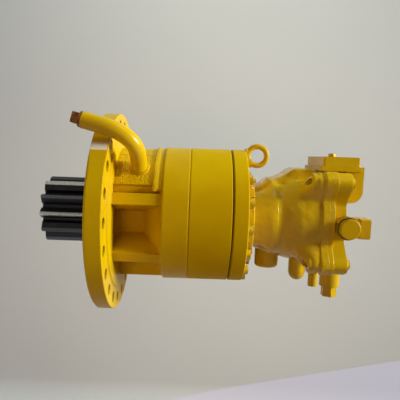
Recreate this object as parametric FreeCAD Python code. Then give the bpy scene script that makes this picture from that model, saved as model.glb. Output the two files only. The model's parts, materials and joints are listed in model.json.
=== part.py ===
import FreeCAD, Part
import math
import os

# Swing drive: an axial piston motor on a two-stage planetary gearbox with an output pinion.
# Millimetres. The shaft lies along X and the pinion points to -X. The origin is the centre of
# the mounting flange's front face, and +Z is up.

# Fits and gaps
RUNNING = 0.06           # radial gap of a journal or pin in its bore
SEATED = 0.03            # radial gap of a piece that is pressed or seated
ROLLING = 0.3            # gap on each side of a roller
AXIAL = 0.3              # axial gap between faces that run past each other
BOLT_GAP = 0.5           # radial gap of a bolt in its hole
BACKLASH = 0.36          # play between meshing teeth, at the pitch circle

# Mounting flange and its pilot
flange_radius = 250.0
flange_thickness = 39.0
flange_chamfer = 4.0
flat_angle = 42.0        # where the rim's flat faces, up from the near side
flat_depth = 5.0
flange_holes = 22
flange_hole_radius = 13.0
flange_hole_inset = 27.0  # from the rim to the holes' circle
pad_gap = 13.5           # clear width between the holes and the raised pad
pad_height = 4.0
pilot_step = 6.5         # how much smaller the pilot's radius is than the pad's
pilot_height = 10.0

# Ribbed neck of the drive housing
neck_length = 111.0
barrel_radius = 92.0
flare_length = 44.0
rib_count = 7
rib_thickness = 28.0
rib_inset = 5.0          # how far the ribs lie within the gearbox's outside
rib_angle = 17.0
box_start = 29.0         # the closed oil pocket spans these angles
box_end = 118.0
box_inset = 10.0         # how far the pocket's walls run into the neck
box_end_gap = 15.0       # valley between the pocket and the ring section
box_wall = 12.0
hollow_width = 19.0      # recess in the pocket's wall beside the flange
hollow_start = 34.0
hollow_end = 54.0
hollow_depth = 26.0
lip_half = 4.0           # raised lip at the pocket's end
lip_height = 3.5
lip_drop = 5.5           # how many degrees the lip reaches below the pocket

# Gearbox casings
housing_ring_length = 66.0
ring_gear_length = 99.5
cover_thickness = 37.9
case_wall = 28.75        # from the ring gear's tooth roots to the gearbox's outside
cavity_wall = 9.5        # left between the gear room and the case screws
cover_recess = 11.0
seam_groove = 1.6
cover_groove_width = 4.0
cover_groove_depth = 4.0
edge_break = 1.5
case_bolts = 16
case_bolt_angle = 84.0   # the first bolt's place is the lifting eye's
case_bolt_inset = 13.0   # from the gearbox's outside to the screws' circle
case_bolt_radius = 7.0
case_bolt_grip = 30.0
case_bolt_head_radius = 11.0
case_bolt_head_height = 10.0
dowel_radius = 5.0
dowel_length = 24.0

# Gears
gear_module = 5.0
pressure_angle = 25.0
ring_teeth = 54
second_sun_teeth = 18
second_planet_teeth = 18
first_sun_teeth = 12
first_planet_teeth = 21
planets = 3
second_face = 45.0
first_face = 18.0
second_washer = 4.6
first_washer = 1.6

# Output pinion and shaft
pinion_module = 12.0
pinion_teeth = 11
pinion_shift = 0.5
pinion_turn = 19.4       # how far the first tooth lies from the far side at rest
pinion_length = 114.0
pinion_standoff = 34.0   # from the flange's front face to the toothed part
seal_journal_radius = 62.0
lower_journal_radius = 50.0
middle_shaft_radius = 49.0
upper_journal_radius = 42.5
output_spline_radius = 38.0
spline_depth = 3.0
spline_teeth = 12

# Output bearings
lower_bearing_radius = 90.0
lower_bearing_width = 46.0
lower_bearing_start = -6.0
upper_bearing_radius = 75.0
upper_bearing_width = 36.0
upper_bearing_start = 108.0
shoulder_bore = 68.0
spacer_wall = 7.0
shaft_nut_width = 12.0
shaft_nut_radius = 54.0

# What all four roller bearings share
race_share = 0.26        # a ring's wall as a share of the bearing's depth
lip_share = 0.08
lip_width = 4.5

# Seal on the pinion side
retainer_radius = 112.0
retainer_thickness = 14.0
seal_radius = 78.0
seal_width = 12.0
retainer_screws = 8

# Second carrier
second_plate_gap = 12.0  # from the plate's rim to the housing
second_plate_thickness = 26.0
second_outer_plate_gap = 8.0
second_outer_plate_thickness = 10.0
second_hub_radius = 57.0
second_hub_length = 29.0
second_pin_radius = 19.0
second_bush_wall = 5.0
web_inner_radius = 72.0
web_inset = 4.0
web_angle = 34.0

# First carrier
first_plate_gap = 6.0    # from the plate's rim to the ring gear's teeth
first_plate_thickness = 8.5
first_outer_plate_thickness = 4.0
first_pin_radius = 12.0
first_bush_wall = 3.5
sun_stem_radius = 30.0
sun_bore = 16.0
carrier_gap = 3.5

# Hydraulic motor casing
motor_flange_radius = 126.0
motor_flange_thickness = 18.6
motor_flange_flat = 108.6
motor_flat_angle = 72.3  # the flange's two upper flats face this far above each side
motor_bolt_angles = (22.0, -8.0, -38.0, -68.0)
motor_bolt_circle = 118.0
motor_bolt_radius = 8.0
motor_bolt_head_radius = 12.0
motor_bolt_head_height = 9.5
motor_bolt_seat = 9.0    # thickness left under the bolt heads' pockets
motor_bolt_grip = 24.0
motor_neck_radius = 82.0
motor_neck_length = 10.0
motor_neck_flare = 42.0
bleed_screw_y = -48.0
bleed_screw_z = 93.0
motor_pilot_radius = 60.0
motor_pilot_height = 10.0
motor_barrel_radius = 104.0
motor_barrel_length = 84.0
motor_case_length = 202.6
motor_chest_radius = 111.0
motor_swell_length = 58.0
motor_valley_depth = 3.5     # of the waist between the barrel and the chest
motor_valley_half = 12.0
motor_hump_half = 56.0
motor_hump_y = 8.0
motor_hump_step = 12.0       # the top rises in two steps towards the port block
motor_hump_rise = 9.5
motor_hump_drop = 15.0       # how far the hump falls again under the port block
motor_hump_round = 7.0
motor_rim_lip = 3.0
motor_rim_thickness = 18.0
ear_spread = 12.0            # half of a corner web's angle
ear_lead = 36.0              # how far the webs start before the corner bosses
ear_rise = 52.0
cast_sections = 15           # cross-sections that the casing is lofted through
cast_points = 72             # points on each of them
motor_cavity_radius = 84.0
brake_bore_radius = 90.0
front_wall = 42.6        # from the motor's mounting face to its cavity
corner_boss_radius = 22.0
corner_bolt_y = 100.0
corner_bolt_high = 98.0
corner_bolt_low = -101.0
corner_boss_length = 48.0
corner_bolt_radius = 8.0
corner_head_radius = 12.0

# Rear cover and the port block on it
rear_cover_thickness = 46.0
rear_rim_thickness = 10.5
rear_core_radius = 98.0
rear_ear_spread = 13.0
rear_spigot = 6.5
port_front_setback = 15.0    # in front of the cover's seam
port_block_reach = 95.0      # behind the seam
port_block_near = -52.0
port_block_far = 112.0
port_block_low = 46.0
port_face = 137.0
port_overhang = 12.0
port_overhang_reach = 86.0
port_plate_thickness = 24.0
port_plate_margin = 6.0
port_bore_radius = 11.0
port_bore_y = 45.0
port_bore_z = 20.0

# Motor internals
motor_bearing_radius = 45.0
motor_bearing_width = 23.0
motor_journal_radius = 22.5
motor_seal_radius = 36.0
motor_seal_width = 9.0
rear_bearing_radius = 36.0
rear_bearing_width = 17.0
rear_journal_radius = 17.5
motor_shaft_radius = 24.0
motor_spline_radius = 17.0
swash_radius = 83.0
swash_angle = 13.0
swash_middle = 26.0
block_radius = 72.0
block_length = 76.0
block_floor = 10.0       # left behind the bores
block_port_step = 4.0
lug_height = 5.0         # splines on the block that drive the brake linings
lug_depth = 4.0
lug_lead = 4.0
lug_length = 30.0
shaft_front_radius = 20.0
shaft_collar_radius = 27.0
shaft_collar_length = 5.0
shaft_reach = 6.0        # how far the shaft reaches past the casing's pilot
shaft_tail = 2.0
piston_count = 9
piston_radius = 11.0
piston_circle = 50.0
piston_length = 76.0
ball_radius = 7.0        # the ball joint between a piston and its slipper
ball_height = 12.0
slipper_radius = 12.0
slipper_thickness = 4.0
cup_radius = 9.5
cup_length = 10.0
valve_plate_thickness = 5.2
brake_offset = 78.0      # from the cavity's front wall to the brake's plates
brake_travel = 2.5
separator_thickness = 4.0
lining_thickness = 3.4
linings = 2
brake_piston_length = 38.0
spring_thickness = 4.0

# Fittings
eye_radius = 24.0
eye_wire_radius = 7.0
eye_collar_radius = 19.0
tube_radius = 19.0
tube_wall = 3.5
tube_foot_x = 100.0
tube_foot_angle = 46.0   # above the near side, as the other angles round the shaft
tube_foot_depth = 5.2    # how far the tube's foot lies in the pocket's wall
tube_rise = 36.6         # how far the straight foot stands out of the pocket
tube_rim_gap = 5.8       # clear height over the flange's rim
tube_level_x = 20.0
tube_level_angle = 50.2
tube_end_x = -20.0
tube_end_angle = 51.9
tube_end_lift = 5.5
tube_seat_length = 60.0
plug_square = 24.0
relief_offset = 43.0     # behind the cover's seam, as the other offsets below
relief_z = -10.0
relief_seat_radius = 28.5
relief_cap_radius = 24.5
relief_face = 114.0
relief_cap_height = 17.0
relief_depth = 76.0      # how far from the shaft the cartridges start
makeup_y = -58.0
makeup_z = -15.5
makeup_square = 50.0
makeup_head_length = 26.0
makeup_stem_radius = 12.0
makeup_stem_length = 26.0
makeup_boss_radius = 27.0
makeup_boss_reach = 84.0
low_boss_offset = 70.6   # behind the gearbox's cover
low_boss_radius = 31.0
low_boss_reach = 134.0
gauge_boss_setback = 49.0    # in front of the cover's seam
gauge_boss_radius = 22.0
gauge_boss_reach = 170.0
small_plug_setback = 20.0
small_plug_y = -58.0
small_plug_radius = 12.0
small_plug_reach = 168.0
drain_offset = 41.0
drain_collar_radius = 26.0
drain_collar_reach = 182.0
drain_across_flats = 36.0
drain_reach = 210.0

# Radii that follow from the gears and the flange
ring_pitch_radius = gear_module * ring_teeth / 2
ring_tip_radius = ring_pitch_radius - gear_module
ring_root_radius = ring_pitch_radius + 1.25 * gear_module
second_distance = gear_module * (second_sun_teeth + second_planet_teeth) / 2
first_distance = gear_module * (first_sun_teeth + first_planet_teeth) / 2
body_radius = ring_root_radius + case_wall
case_bolt_circle = body_radius - case_bolt_inset
cavity_radius = case_bolt_circle - case_bolt_radius - BOLT_GAP - cavity_wall
rib_radius = body_radius - rib_inset
flange_hole_circle = flange_radius - flange_hole_inset
pad_radius = flange_hole_circle - flange_hole_radius - pad_gap
pilot_radius = pad_radius - pilot_step
second_plate_radius = cavity_radius - second_plate_gap
second_outer_plate_radius = ring_tip_radius - second_outer_plate_gap
web_outer_radius = second_outer_plate_radius - web_inset
first_plate_radius = ring_tip_radius - first_plate_gap

# Stations along the shaft
flange_back = flange_thickness
pad_back = flange_back + pad_height
ring_start = pad_back + neck_length
housing_seam = ring_start + housing_ring_length
cover_seam = housing_seam + ring_gear_length
cover_face = cover_seam + cover_thickness
motor_barrel_end = cover_face + motor_barrel_length
motor_seam = cover_face + motor_case_length
rear_face = motor_seam + rear_cover_thickness
rim_start = motor_seam - motor_rim_thickness
port_block_front = motor_seam - port_front_setback
port_block_back = motor_seam + port_block_reach
port_overhang_back = motor_seam + port_overhang_reach
relief_x = motor_seam + relief_offset
makeup_boss_end = motor_seam + makeup_boss_reach
makeup_end = makeup_boss_end + makeup_head_length
low_boss_x = cover_face + low_boss_offset
gauge_boss_x = motor_seam - gauge_boss_setback
small_plug_x = motor_seam - small_plug_setback
drain_x = motor_seam + drain_offset
corner_boss_start = motor_seam - corner_boss_length
lower_bearing_end = lower_bearing_start + lower_bearing_width
upper_bearing_end = upper_bearing_start + upper_bearing_width
nut_end = upper_bearing_end + shaft_nut_width
second_start = housing_seam + second_washer + 2 * 0.2
second_end = second_start + second_face
second_plate_start = housing_seam - second_plate_thickness
second_hub_start = second_plate_start - second_hub_length
second_outer_start = second_end + second_washer + 2 * 0.2
second_outer_end = second_outer_start + second_outer_plate_thickness
first_plate_start = second_outer_end + carrier_gap
first_plate_end = first_plate_start + first_plate_thickness
first_start = first_plate_end + first_washer + 2 * 0.2
first_end = first_start + first_face
first_outer_start = first_end + first_washer + 2 * 0.2
first_outer_end = first_outer_start + first_outer_plate_thickness
cavity_start = cover_face + front_wall
brake_start = cavity_start + brake_offset
valve_plate_end = motor_seam - rear_spigot
valve_plate_start = valve_plate_end - valve_plate_thickness
block_end = valve_plate_start - AXIAL
block_start = block_end - block_length
motor_bearing_start = cavity_start - 5.0 - motor_bearing_width
rear_bearing_start = valve_plate_end + 2.5


def point(x, y, z):
    return FreeCAD.Vector(x, y, z)


def polar(x, radius, angle):
    """A point this far from the shaft, at an angle above the near side."""
    turned = math.radians(angle)
    return point(x, -radius * math.cos(turned), radius * math.sin(turned))


ALONG = point(1, 0, 0)
ORIGIN = point(0, 0, 0)


# Basic forms

def rod(radius, start, end, y=0.0, z=0.0):
    return Part.makeCylinder(radius, end - start, point(start, y, z), ALONG)


def ring(outer, inner, start, end, y=0.0, z=0.0):
    return rod(outer, start, end, y, z).cut(rod(inner, start, end, y, z))


def post(radius, base, direction, length):
    return Part.makeCylinder(radius, length, base, direction)


def block(x0, x1, y0, y1, z0, z1):
    return Part.makeBox(x1 - x0, y1 - y0, z1 - z0, point(x0, y0, z0))


def turned(profile, angle=360.0):
    corners = [point(x, 0, radius) for x, radius in profile]
    face = Part.Face(Part.makePolygon(corners + corners[:1]))
    return face.revolve(ORIGIN, ALONG, angle)


def turn(shape, angle):
    copy = shape.copy()
    copy.rotate(ORIGIN, ALONG, angle)
    return copy


def face_to(shape, angle):
    """Turns a shape made pointing up until it points this far above the near side."""
    return turn(shape, 90.0 - angle)


def around(shape, count, start):
    return [face_to(shape, start + step * 360.0 / count) for step in range(count)]


def group(solids):
    return Part.makeCompound(solids)


def cut_all(shape, tools):
    return shape.cut(group(tools))


def join(shapes):
    return shapes[0].multiFuse(shapes[1:]).removeSplitter()


def prism(outline, start, end):
    """A closed outline of (y, z) points, carried along the shaft."""
    corners = [point(start, y, z) for y, z in outline]
    face = Part.Face(Part.makePolygon(corners + corners[:1]))
    return face.extrude(point(end - start, 0, 0))


def hexagon(across, base, direction, length):
    corners = []
    for step in range(6):
        angle = math.radians(60 * step + 30)
        reach = across / math.sqrt(3)
        corners.append(point(reach * math.cos(angle), reach * math.sin(angle), 0))
    face = Part.Face(Part.makePolygon(corners + corners[:1]))
    solid = face.extrude(point(0, 0, length))
    solid.Placement = FreeCAD.Placement(base, FreeCAD.Rotation(point(0, 0, 1), direction))
    return solid


def ease(value, low, high):
    """Rises smoothly from 0 at low to 1 at high."""
    share = min(1.0, max(0.0, (value - low) / (high - low)))
    return share * share * (3 - 2 * share)


def smooth_max(first, second, blend):
    high = max(first, second)
    low = min(first, second)
    return high + blend * math.log(1 + math.exp((low - high) / blend))


def smooth_min(first, second, blend):
    return -smooth_max(-first, -second, blend)


def cast_wire(x, radius_at):
    """A closed smooth outline across the shaft, from its radius in each direction."""
    places = []
    for step in range(cast_points):
        angle = 2 * math.pi * step / cast_points
        reach = radius_at(angle)
        places.append(point(x, reach * math.cos(angle), reach * math.sin(angle)))
    curve = Part.BSplineCurve()
    curve.interpolate(Points=places, PeriodicFlag=True,
                      Parameters=[float(step) for step in range(cast_points + 1)])
    quarter = cast_points / 4
    return Part.Wire([curve.toShape(part * quarter, (part + 1) * quarter)
                      for part in range(4)])


def cast_plate(radius_at, start, end):
    return Part.Face(cast_wire(start, radius_at)).extrude(point(end - start, 0, 0))


# Teeth

def involute(angle):
    return math.tan(angle) - angle


def flank_angle(radius, pitch, base, half_tooth):
    """Half of a tooth's angle at a radius."""
    pressure = math.acos(min(1.0, base / max(radius, base)))
    return half_tooth + involute(math.radians(pressure_angle)) - involute(pressure)


def gear_outline(teeth, module, phase=0.0, shift=0.0):
    pitch = module * teeth / 2
    base = pitch * math.cos(math.radians(pressure_angle))
    half_tooth = math.pi / (2 * teeth) - BACKLASH / (4 * pitch)
    half_tooth += 2 * shift * math.tan(math.radians(pressure_angle)) / teeth
    root = pitch - (1.25 - shift) * module
    tip = pitch + (1 + shift) * module
    flank = [(root, flank_angle(root, pitch, base, half_tooth)),
             (pitch, flank_angle(pitch, pitch, base, half_tooth)),
             (tip, flank_angle(tip, pitch, base, half_tooth))]
    outline = []
    for tooth in range(teeth):
        middle = phase + 2 * math.pi * tooth / teeth
        for radius, half in flank:
            outline.append((radius * math.cos(middle - half), radius * math.sin(middle - half)))
        for radius, half in reversed(flank):
            outline.append((radius * math.cos(middle + half), radius * math.sin(middle + half)))
    return outline


def ring_teeth_outline():
    """The spaces between the ring gear's inner teeth, as one outline."""
    base = ring_pitch_radius * math.cos(math.radians(pressure_angle))
    half_space = math.pi / (2 * ring_teeth) + BACKLASH / (4 * ring_pitch_radius)
    outline = []
    for space in range(ring_teeth):
        middle = 2 * math.pi * space / ring_teeth
        flank = []
        for radius in (ring_tip_radius, ring_pitch_radius, ring_root_radius):
            half = flank_angle(radius, ring_pitch_radius, base, half_space)
            flank.append((radius, half))
        for radius, half in flank:
            outline.append((radius * math.cos(middle - half), radius * math.sin(middle - half)))
        for radius, half in reversed(flank):
            outline.append((radius * math.cos(middle + half), radius * math.sin(middle + half)))
    return outline


def spline(radius, start, end, grow=0.0, teeth=spline_teeth, depth=None):
    """A straight-sided splined bar, or with grow the bore that takes it."""
    if depth is None:
        depth = spline_depth
    outline = []
    for tooth in range(teeth):
        middle = 2 * math.pi * tooth / teeth
        for reach, share in ((radius - depth, -0.28), (radius, -0.22), (radius, 0.22),
                             (radius - depth, 0.28)):
            reach += grow
            angle = middle + share * 2 * math.pi / teeth + math.copysign(grow, share) / reach
            outline.append((reach * math.cos(angle), reach * math.sin(angle)))
    return prism(outline, start, end)


def planet_centre(index, distance):
    angle = 2 * math.pi * index / planets
    return distance * math.cos(angle), distance * math.sin(angle)


def planet_gear(index, teeth, distance, pin, bush_wall, start, end):
    """A planet gear and the bush pressed into it, turned to mesh with the ring gear."""
    angle = 2 * math.pi * index / planets
    phase = angle * (1 - ring_teeth / teeth)
    bush = pin + RUNNING + bush_wall
    gear = prism(gear_outline(teeth, gear_module, phase), start, end).cut(
        rod(bush + SEATED, start, end))
    pair = group([gear, ring(bush, pin + RUNNING, start, end)])
    y, z = planet_centre(index, distance)
    pair.translate(point(0, y, z))
    return pair


def sun_phase(sun_teeth, planet_teeth):
    return math.pi * (planet_teeth - 1) / sun_teeth


def at_planets(maker, distance):
    """One solid at each planet's centre, each made by maker(y, z)."""
    return [maker(*planet_centre(index, distance)) for index in range(planets)]


# Gearbox casings

def sector(inner, outer, x0, x1, start, end):
    """A part of a ring between two angles above the near side."""
    profile = [(x0, inner), (x1, inner), (x1, outer), (x0, outer)]
    return face_to(turned(profile, end - start), end)


def case_bolt_holes(start, end):
    hole = rod(case_bolt_radius + BOLT_GAP, start, end, 0, case_bolt_circle)
    return around(hole, case_bolts, case_bolt_angle)


def dowel_holes(start, end):
    hole = rod(dowel_radius + SEATED, start, end, 0, case_bolt_circle)
    return around(hole, 2, case_bolt_angle + 180.0 / case_bolts)


def drive_housing():
    shell = turned([
        (-pilot_height, 0), (-pilot_height, pilot_radius - 2), (2 - pilot_height, pilot_radius),
        (0, pilot_radius), (0, flange_radius - flange_chamfer), (flange_chamfer, flange_radius),
        (flange_back - 1, flange_radius), (flange_back, flange_radius - 1),
        (flange_back, pad_radius + 1), (pad_back - 1, pad_radius), (pad_back, pad_radius - 1),
        (pad_back, barrel_radius + 12), (pad_back + 12, barrel_radius),
        (ring_start - flare_length, barrel_radius), (ring_start, body_radius - 8),
        (ring_start + 2, body_radius - 2), (ring_start + 5, body_radius),
        (housing_seam - seam_groove, body_radius), (housing_seam, body_radius - seam_groove),
        (housing_seam, 0)])
    rib = block(flange_back, ring_start + 4, -rib_thickness / 2, rib_thickness / 2,
                barrel_radius - box_inset, rib_radius)
    box_close = ring_start - box_end_gap
    pocket = sector(barrel_radius - box_inset, rib_radius, flange_back, box_close, box_start,
                    box_end)
    flat = block(-pilot_height, flange_back, -flange_radius, flange_radius,
                 flange_radius - flat_depth, flange_radius + 5)
    lip = sector(barrel_radius - box_inset, rib_radius + lip_height, box_close - lip_half,
                 box_close + lip_half, box_start - lip_drop, box_end)
    body = join([shell, pocket, lip] + around(rib, rib_count, rib_angle))
    bores = turned([
        (-pilot_height, 0), (-pilot_height, lower_bearing_radius + SEATED),
        (lower_bearing_end, lower_bearing_radius + SEATED), (lower_bearing_end, shoulder_bore),
        (upper_bearing_start, shoulder_bore),
        (upper_bearing_start, upper_bearing_radius + SEATED),
        (ring_start, upper_bearing_radius + SEATED), (ring_start, cavity_radius - 20),
        (ring_start + 14, cavity_radius), (housing_seam, cavity_radius), (housing_seam, 0)])
    hollow = sector(rib_radius - hollow_depth, rib_radius + 1, pad_back,
                    pad_back + hollow_width, hollow_start, hollow_end)
    oil_room = sector(barrel_radius + box_wall, rib_radius - box_wall,
                      pad_back + hollow_width + box_wall, box_close - box_wall, box_start + 6,
                      box_end - 6)
    oil_way = face_to(rod(12, box_close - box_wall - 5, ring_start + 10, 0,
                          barrel_radius + box_wall + 14), (box_start + box_end) / 2)
    holes = around(rod(flange_hole_radius, -1, flange_back + 1, 0, flange_hole_circle),
                   flange_holes, 0)
    screws = around(rod(4 + BOLT_GAP, -pilot_height, 20 - pilot_height, 0, retainer_radius - 9),
                    retainer_screws, 10)
    foot, rise = tube_path()[:2]
    tube_seat = post(tube_radius + SEATED, foot, rise - foot, tube_seat_length)
    tube_way = post(tube_radius - tube_wall, foot - (rise - foot) * 0.3, rise - foot,
                    tube_seat_length)
    tapped = case_bolt_holes(housing_seam - case_bolt_grip - 4, housing_seam)
    dowels = dowel_holes(housing_seam - dowel_length / 2, housing_seam)
    return cut_all(body, [bores, oil_room, oil_way, hollow, face_to(flat, flat_angle),
                          tube_seat, tube_way]
                   + holes + screws + tapped + dowels)


def ring_gear():
    shell = turned([
        (housing_seam, 0), (housing_seam, body_radius - seam_groove),
        (housing_seam + seam_groove, body_radius), (cover_seam - seam_groove, body_radius),
        (cover_seam, body_radius - seam_groove), (cover_seam, 0)])
    teeth = prism(ring_teeth_outline(), housing_seam, cover_seam)
    dowels = dowel_holes(housing_seam, housing_seam + dowel_length / 2)
    dowels += dowel_holes(cover_seam - dowel_length / 2, cover_seam)
    return cut_all(shell, [teeth] + case_bolt_holes(housing_seam, cover_seam) + dowels)


def top_cover():
    shell = turned([
        (cover_seam, 0), (cover_seam, body_radius - cover_groove_depth),
        (cover_seam + cover_groove_width, body_radius - cover_groove_depth),
        (cover_seam + cover_groove_width + 0.8, body_radius),
        (cover_face - edge_break, body_radius),
        (cover_face, body_radius - edge_break), (cover_face, 0)])
    bores = turned([
        (cover_seam, 0), (cover_seam, cavity_radius), (cover_seam + cover_recess, cavity_radius),
        (cover_seam + cover_recess, motor_seal_radius + 6),
        (cover_face - motor_pilot_height - 2, motor_seal_radius + 6),
        (cover_face - motor_pilot_height - 2, motor_pilot_radius + SEATED),
        (cover_face, motor_pilot_radius + SEATED), (cover_face, 0)])
    motor_screws = at_motor_bolts(rod(motor_bolt_radius + BOLT_GAP,
                                      cover_face - motor_bolt_grip - 1, cover_face, 0,
                                      motor_bolt_circle))
    dowels = dowel_holes(cover_seam, cover_seam + dowel_length / 2)
    return cut_all(shell, [bores] + case_bolt_holes(cover_seam, cover_face) + motor_screws
                   + dowels)


def at_motor_bolts(shape):
    """Copies at the motor flange's bolts, on the near side and mirrored on the far side."""
    angles = motor_bolt_angles + tuple(180.0 - angle for angle in motor_bolt_angles)
    return [face_to(shape, angle) for angle in angles]


def cover_bolts():
    bolt = rod(case_bolt_radius, housing_seam - case_bolt_grip, cover_face, 0, case_bolt_circle)
    head = rod(case_bolt_head_radius, cover_face, cover_face + case_bolt_head_height, 0,
               case_bolt_circle)
    socket = hexagon(14, point(cover_face + 4, 0, case_bolt_circle), ALONG, 10)
    bolts = around(bolt.fuse(head.cut(socket)), case_bolts, case_bolt_angle)
    return group(bolts[1:])


def dowel_pins():
    pins = []
    for seam in (housing_seam, cover_seam):
        half = dowel_length / 2 - 0.5
        pin = rod(dowel_radius, seam - half, seam + half, 0, case_bolt_circle)
        pins += around(pin, 2, case_bolt_angle + 180.0 / case_bolts)
    return group(pins)


# Output shaft and what carries it

def pinion_shaft():
    tooth_end = -pinion_standoff
    teeth = prism(gear_outline(pinion_teeth, pinion_module, math.radians(pinion_turn), pinion_shift),
                  tooth_end - pinion_length, tooth_end)
    tip = pinion_module * (pinion_teeth / 2 + 1 + pinion_shift)
    trim = turned([(tooth_end - pinion_length, 0), (tooth_end - pinion_length, tip - 4),
                   (tooth_end - pinion_length + 4, tip + 1), (tooth_end, tip + 1),
                   (tooth_end, 0)])
    shaft = turned([
        (tooth_end, 0), (tooth_end, seal_journal_radius),
        (lower_bearing_start, seal_journal_radius), (lower_bearing_start, lower_journal_radius),
        (lower_bearing_end, lower_journal_radius), (lower_bearing_end, middle_shaft_radius),
        (upper_bearing_start, middle_shaft_radius), (upper_bearing_start, upper_journal_radius),
        (nut_end, upper_journal_radius), (nut_end, output_spline_radius - spline_depth),
        (second_hub_start, output_spline_radius - spline_depth), (second_hub_start, 0)])
    splined = spline(output_spline_radius, second_hub_start, housing_seam - 6)
    drilled = rod(10, housing_seam - 50, housing_seam)
    return join([teeth.common(trim), shaft, splined]).cut(drilled)


def bearing_outer(outer, bore, start, end):
    """Outer ring with a raised lip at each side of the roller track."""
    track = outer - (outer - bore) * race_share
    edge = track - (outer - bore) * lip_share
    return turned([(start, edge), (start, outer), (end, outer), (end, edge),
                   (end - lip_width, edge), (end - lip_width, track),
                   (start + lip_width, track), (start + lip_width, edge)])


def bearing_inner(outer, bore, start, end):
    wall = (outer - bore) * race_share
    return ring(bore + SEATED + wall, bore + SEATED, start, end)


def roller_set(outer, bore, start, end, count):
    """Rollers and the cage that carries them, as separate solids."""
    wall = (outer - bore) * race_share
    high = outer - wall - ROLLING
    low = bore + SEATED + wall + ROLLING
    radius = (high - low) / 2
    middle = (high + low) / 2
    side = lip_width + 3 * ROLLING
    roller = rod(radius, start + side, end - side, 0, middle)
    pocket = rod(radius + 0.2, start + side - 0.2, end - side + 0.2, 0, middle)
    cage = ring(middle + radius * 0.35, middle - radius * 0.35, start + 1, end - 1)
    cage = cut_all(cage, around(pocket, count, 0))
    return group([cage] + around(roller, count, 0))


def shaft_nut():
    nut = ring(shaft_nut_radius, upper_journal_radius + SEATED, upper_bearing_end, nut_end)
    slot = block(upper_bearing_end + 5, nut_end, -4, 4, shaft_nut_radius - 4,
                 shaft_nut_radius + 4)
    return cut_all(nut, around(slot, 6, 0))


def seal_retainer():
    face = -pilot_height - retainer_thickness
    body = turned([
        (face, seal_radius - 6), (face, retainer_radius - 2), (face + 2, retainer_radius),
        (-pilot_height, retainer_radius), (-pilot_height, lower_bearing_radius - SEATED),
        (lower_bearing_start - SEATED, lower_bearing_radius - SEATED),
        (lower_bearing_start - SEATED, seal_radius),
        (face + 3, seal_radius), (face + 3, seal_radius - 6)])
    holes = around(rod(4 + BOLT_GAP, face, -pilot_height, 0, retainer_radius - 9),
                   retainer_screws, 10)
    return cut_all(body, holes)


def retainer_screw_set():
    face = -pilot_height - retainer_thickness
    screw = rod(4, face, 18 - pilot_height, 0, retainer_radius - 9)
    head = hexagon(13, point(face - 5.5, 0, retainer_radius - 9), ALONG, 5.5)
    return group(around(screw.fuse(head), retainer_screws, 10))


def lip_seal(outer, journal, start, width):
    """A seal with a sloping lip, as it lies on its journal."""
    inner = journal + 0.4
    return turned([
        (start, outer - SEATED), (start + width, outer - SEATED), (start + width, outer - 4),
        (start + 3, outer - 4), (start + 3, inner + 5), (start + width - 1, inner + 2),
        (start + width - 3, inner), (start, inner + 3)])


# Planet stages

def second_carrier():
    plate = rod(second_plate_radius, second_plate_start, housing_seam)
    hub = rod(second_hub_radius, second_hub_start, second_plate_start)
    outer = rod(second_outer_plate_radius, second_outer_start, second_outer_end)
    parts = [plate, hub, outer]
    for index in range(planets):
        angle = 60.0 + 360.0 * index / planets
        web = turned([(housing_seam - 1, web_inner_radius), (housing_seam - 1, web_outer_radius),
                      (second_outer_start + 1, web_outer_radius),
                      (second_outer_start + 1, web_inner_radius)], web_angle)
        parts.append(turn(web, angle - 90.0 - web_angle / 2))
    bores = [spline(output_spline_radius, second_hub_start, housing_seam, SEATED),
             rod(output_spline_radius + 8, housing_seam - 6, housing_seam),
             rod(second_distance - gear_module * (second_planet_teeth / 2) + 11,
                 second_outer_start, second_outer_end)]
    bores += at_planets(lambda y, z: rod(second_pin_radius + SEATED, second_plate_start,
                                         second_outer_end, y, z), second_distance)
    return cut_all(join(parts), bores)


def pins(radius, distance, start, end, oil_hole):
    return group(at_planets(lambda y, z: ring(radius, oil_hole, start, end, y, z),
                                        distance))


def thrust_washers(radius, outer, thickness, distance, starts):
    washers = []
    for start in starts:
        washers += at_planets(lambda y, z: ring(outer, radius + RUNNING, start,
                                                start + thickness, y, z), distance)
    return group(washers)


def shaft_end_plate():
    plate = ring(output_spline_radius + 6, 10.3, housing_seam - 6, housing_seam)
    return plate


def shaft_end_bolt():
    head = hexagon(30, point(housing_seam, 0, 0), ALONG, 11)
    return head.fuse(rod(9.7, housing_seam - 46, housing_seam))


def second_sun():
    phase = sun_phase(second_sun_teeth, second_planet_teeth)
    start = second_start - 2
    gear = prism(gear_outline(second_sun_teeth, gear_module, phase), start, second_end + 2)
    stem = rod(sun_stem_radius - spline_depth, second_end + 2, first_plate_start)
    splined = spline(sun_stem_radius, first_plate_start - 4, first_plate_end)
    bore = rod(sun_bore, start, first_plate_end)
    recess = rod(sun_bore + 8, start, start + 14)
    return join([gear, stem, splined]).cut(bore).cut(recess)


def first_carrier():
    plate = rod(first_plate_radius, first_plate_start, first_plate_end)
    bores = [spline(sun_stem_radius, first_plate_start, first_plate_end, SEATED)]
    bores += at_planets(lambda y, z: rod(first_pin_radius + SEATED, first_plate_start,
                                         first_plate_end, y, z), first_distance)
    windows = []
    for index in range(planets):
        angle = 60.0 + 360.0 * index / planets
        window = rod(18, first_plate_start, first_plate_end, 0, 86)
        windows.append(turn(window, angle - 90.0))
    return cut_all(plate, bores + windows)


def first_outer_plate():
    """Ring that ties the free ends of the first stage's pins together."""
    inner = first_distance - 24
    plate = ring(first_plate_radius - 12, inner, first_outer_start, first_outer_end)
    holes = at_planets(lambda y, z: rod(first_pin_radius + SEATED, first_outer_start,
                                        first_outer_end, y, z), first_distance)
    return cut_all(plate, holes)


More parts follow.
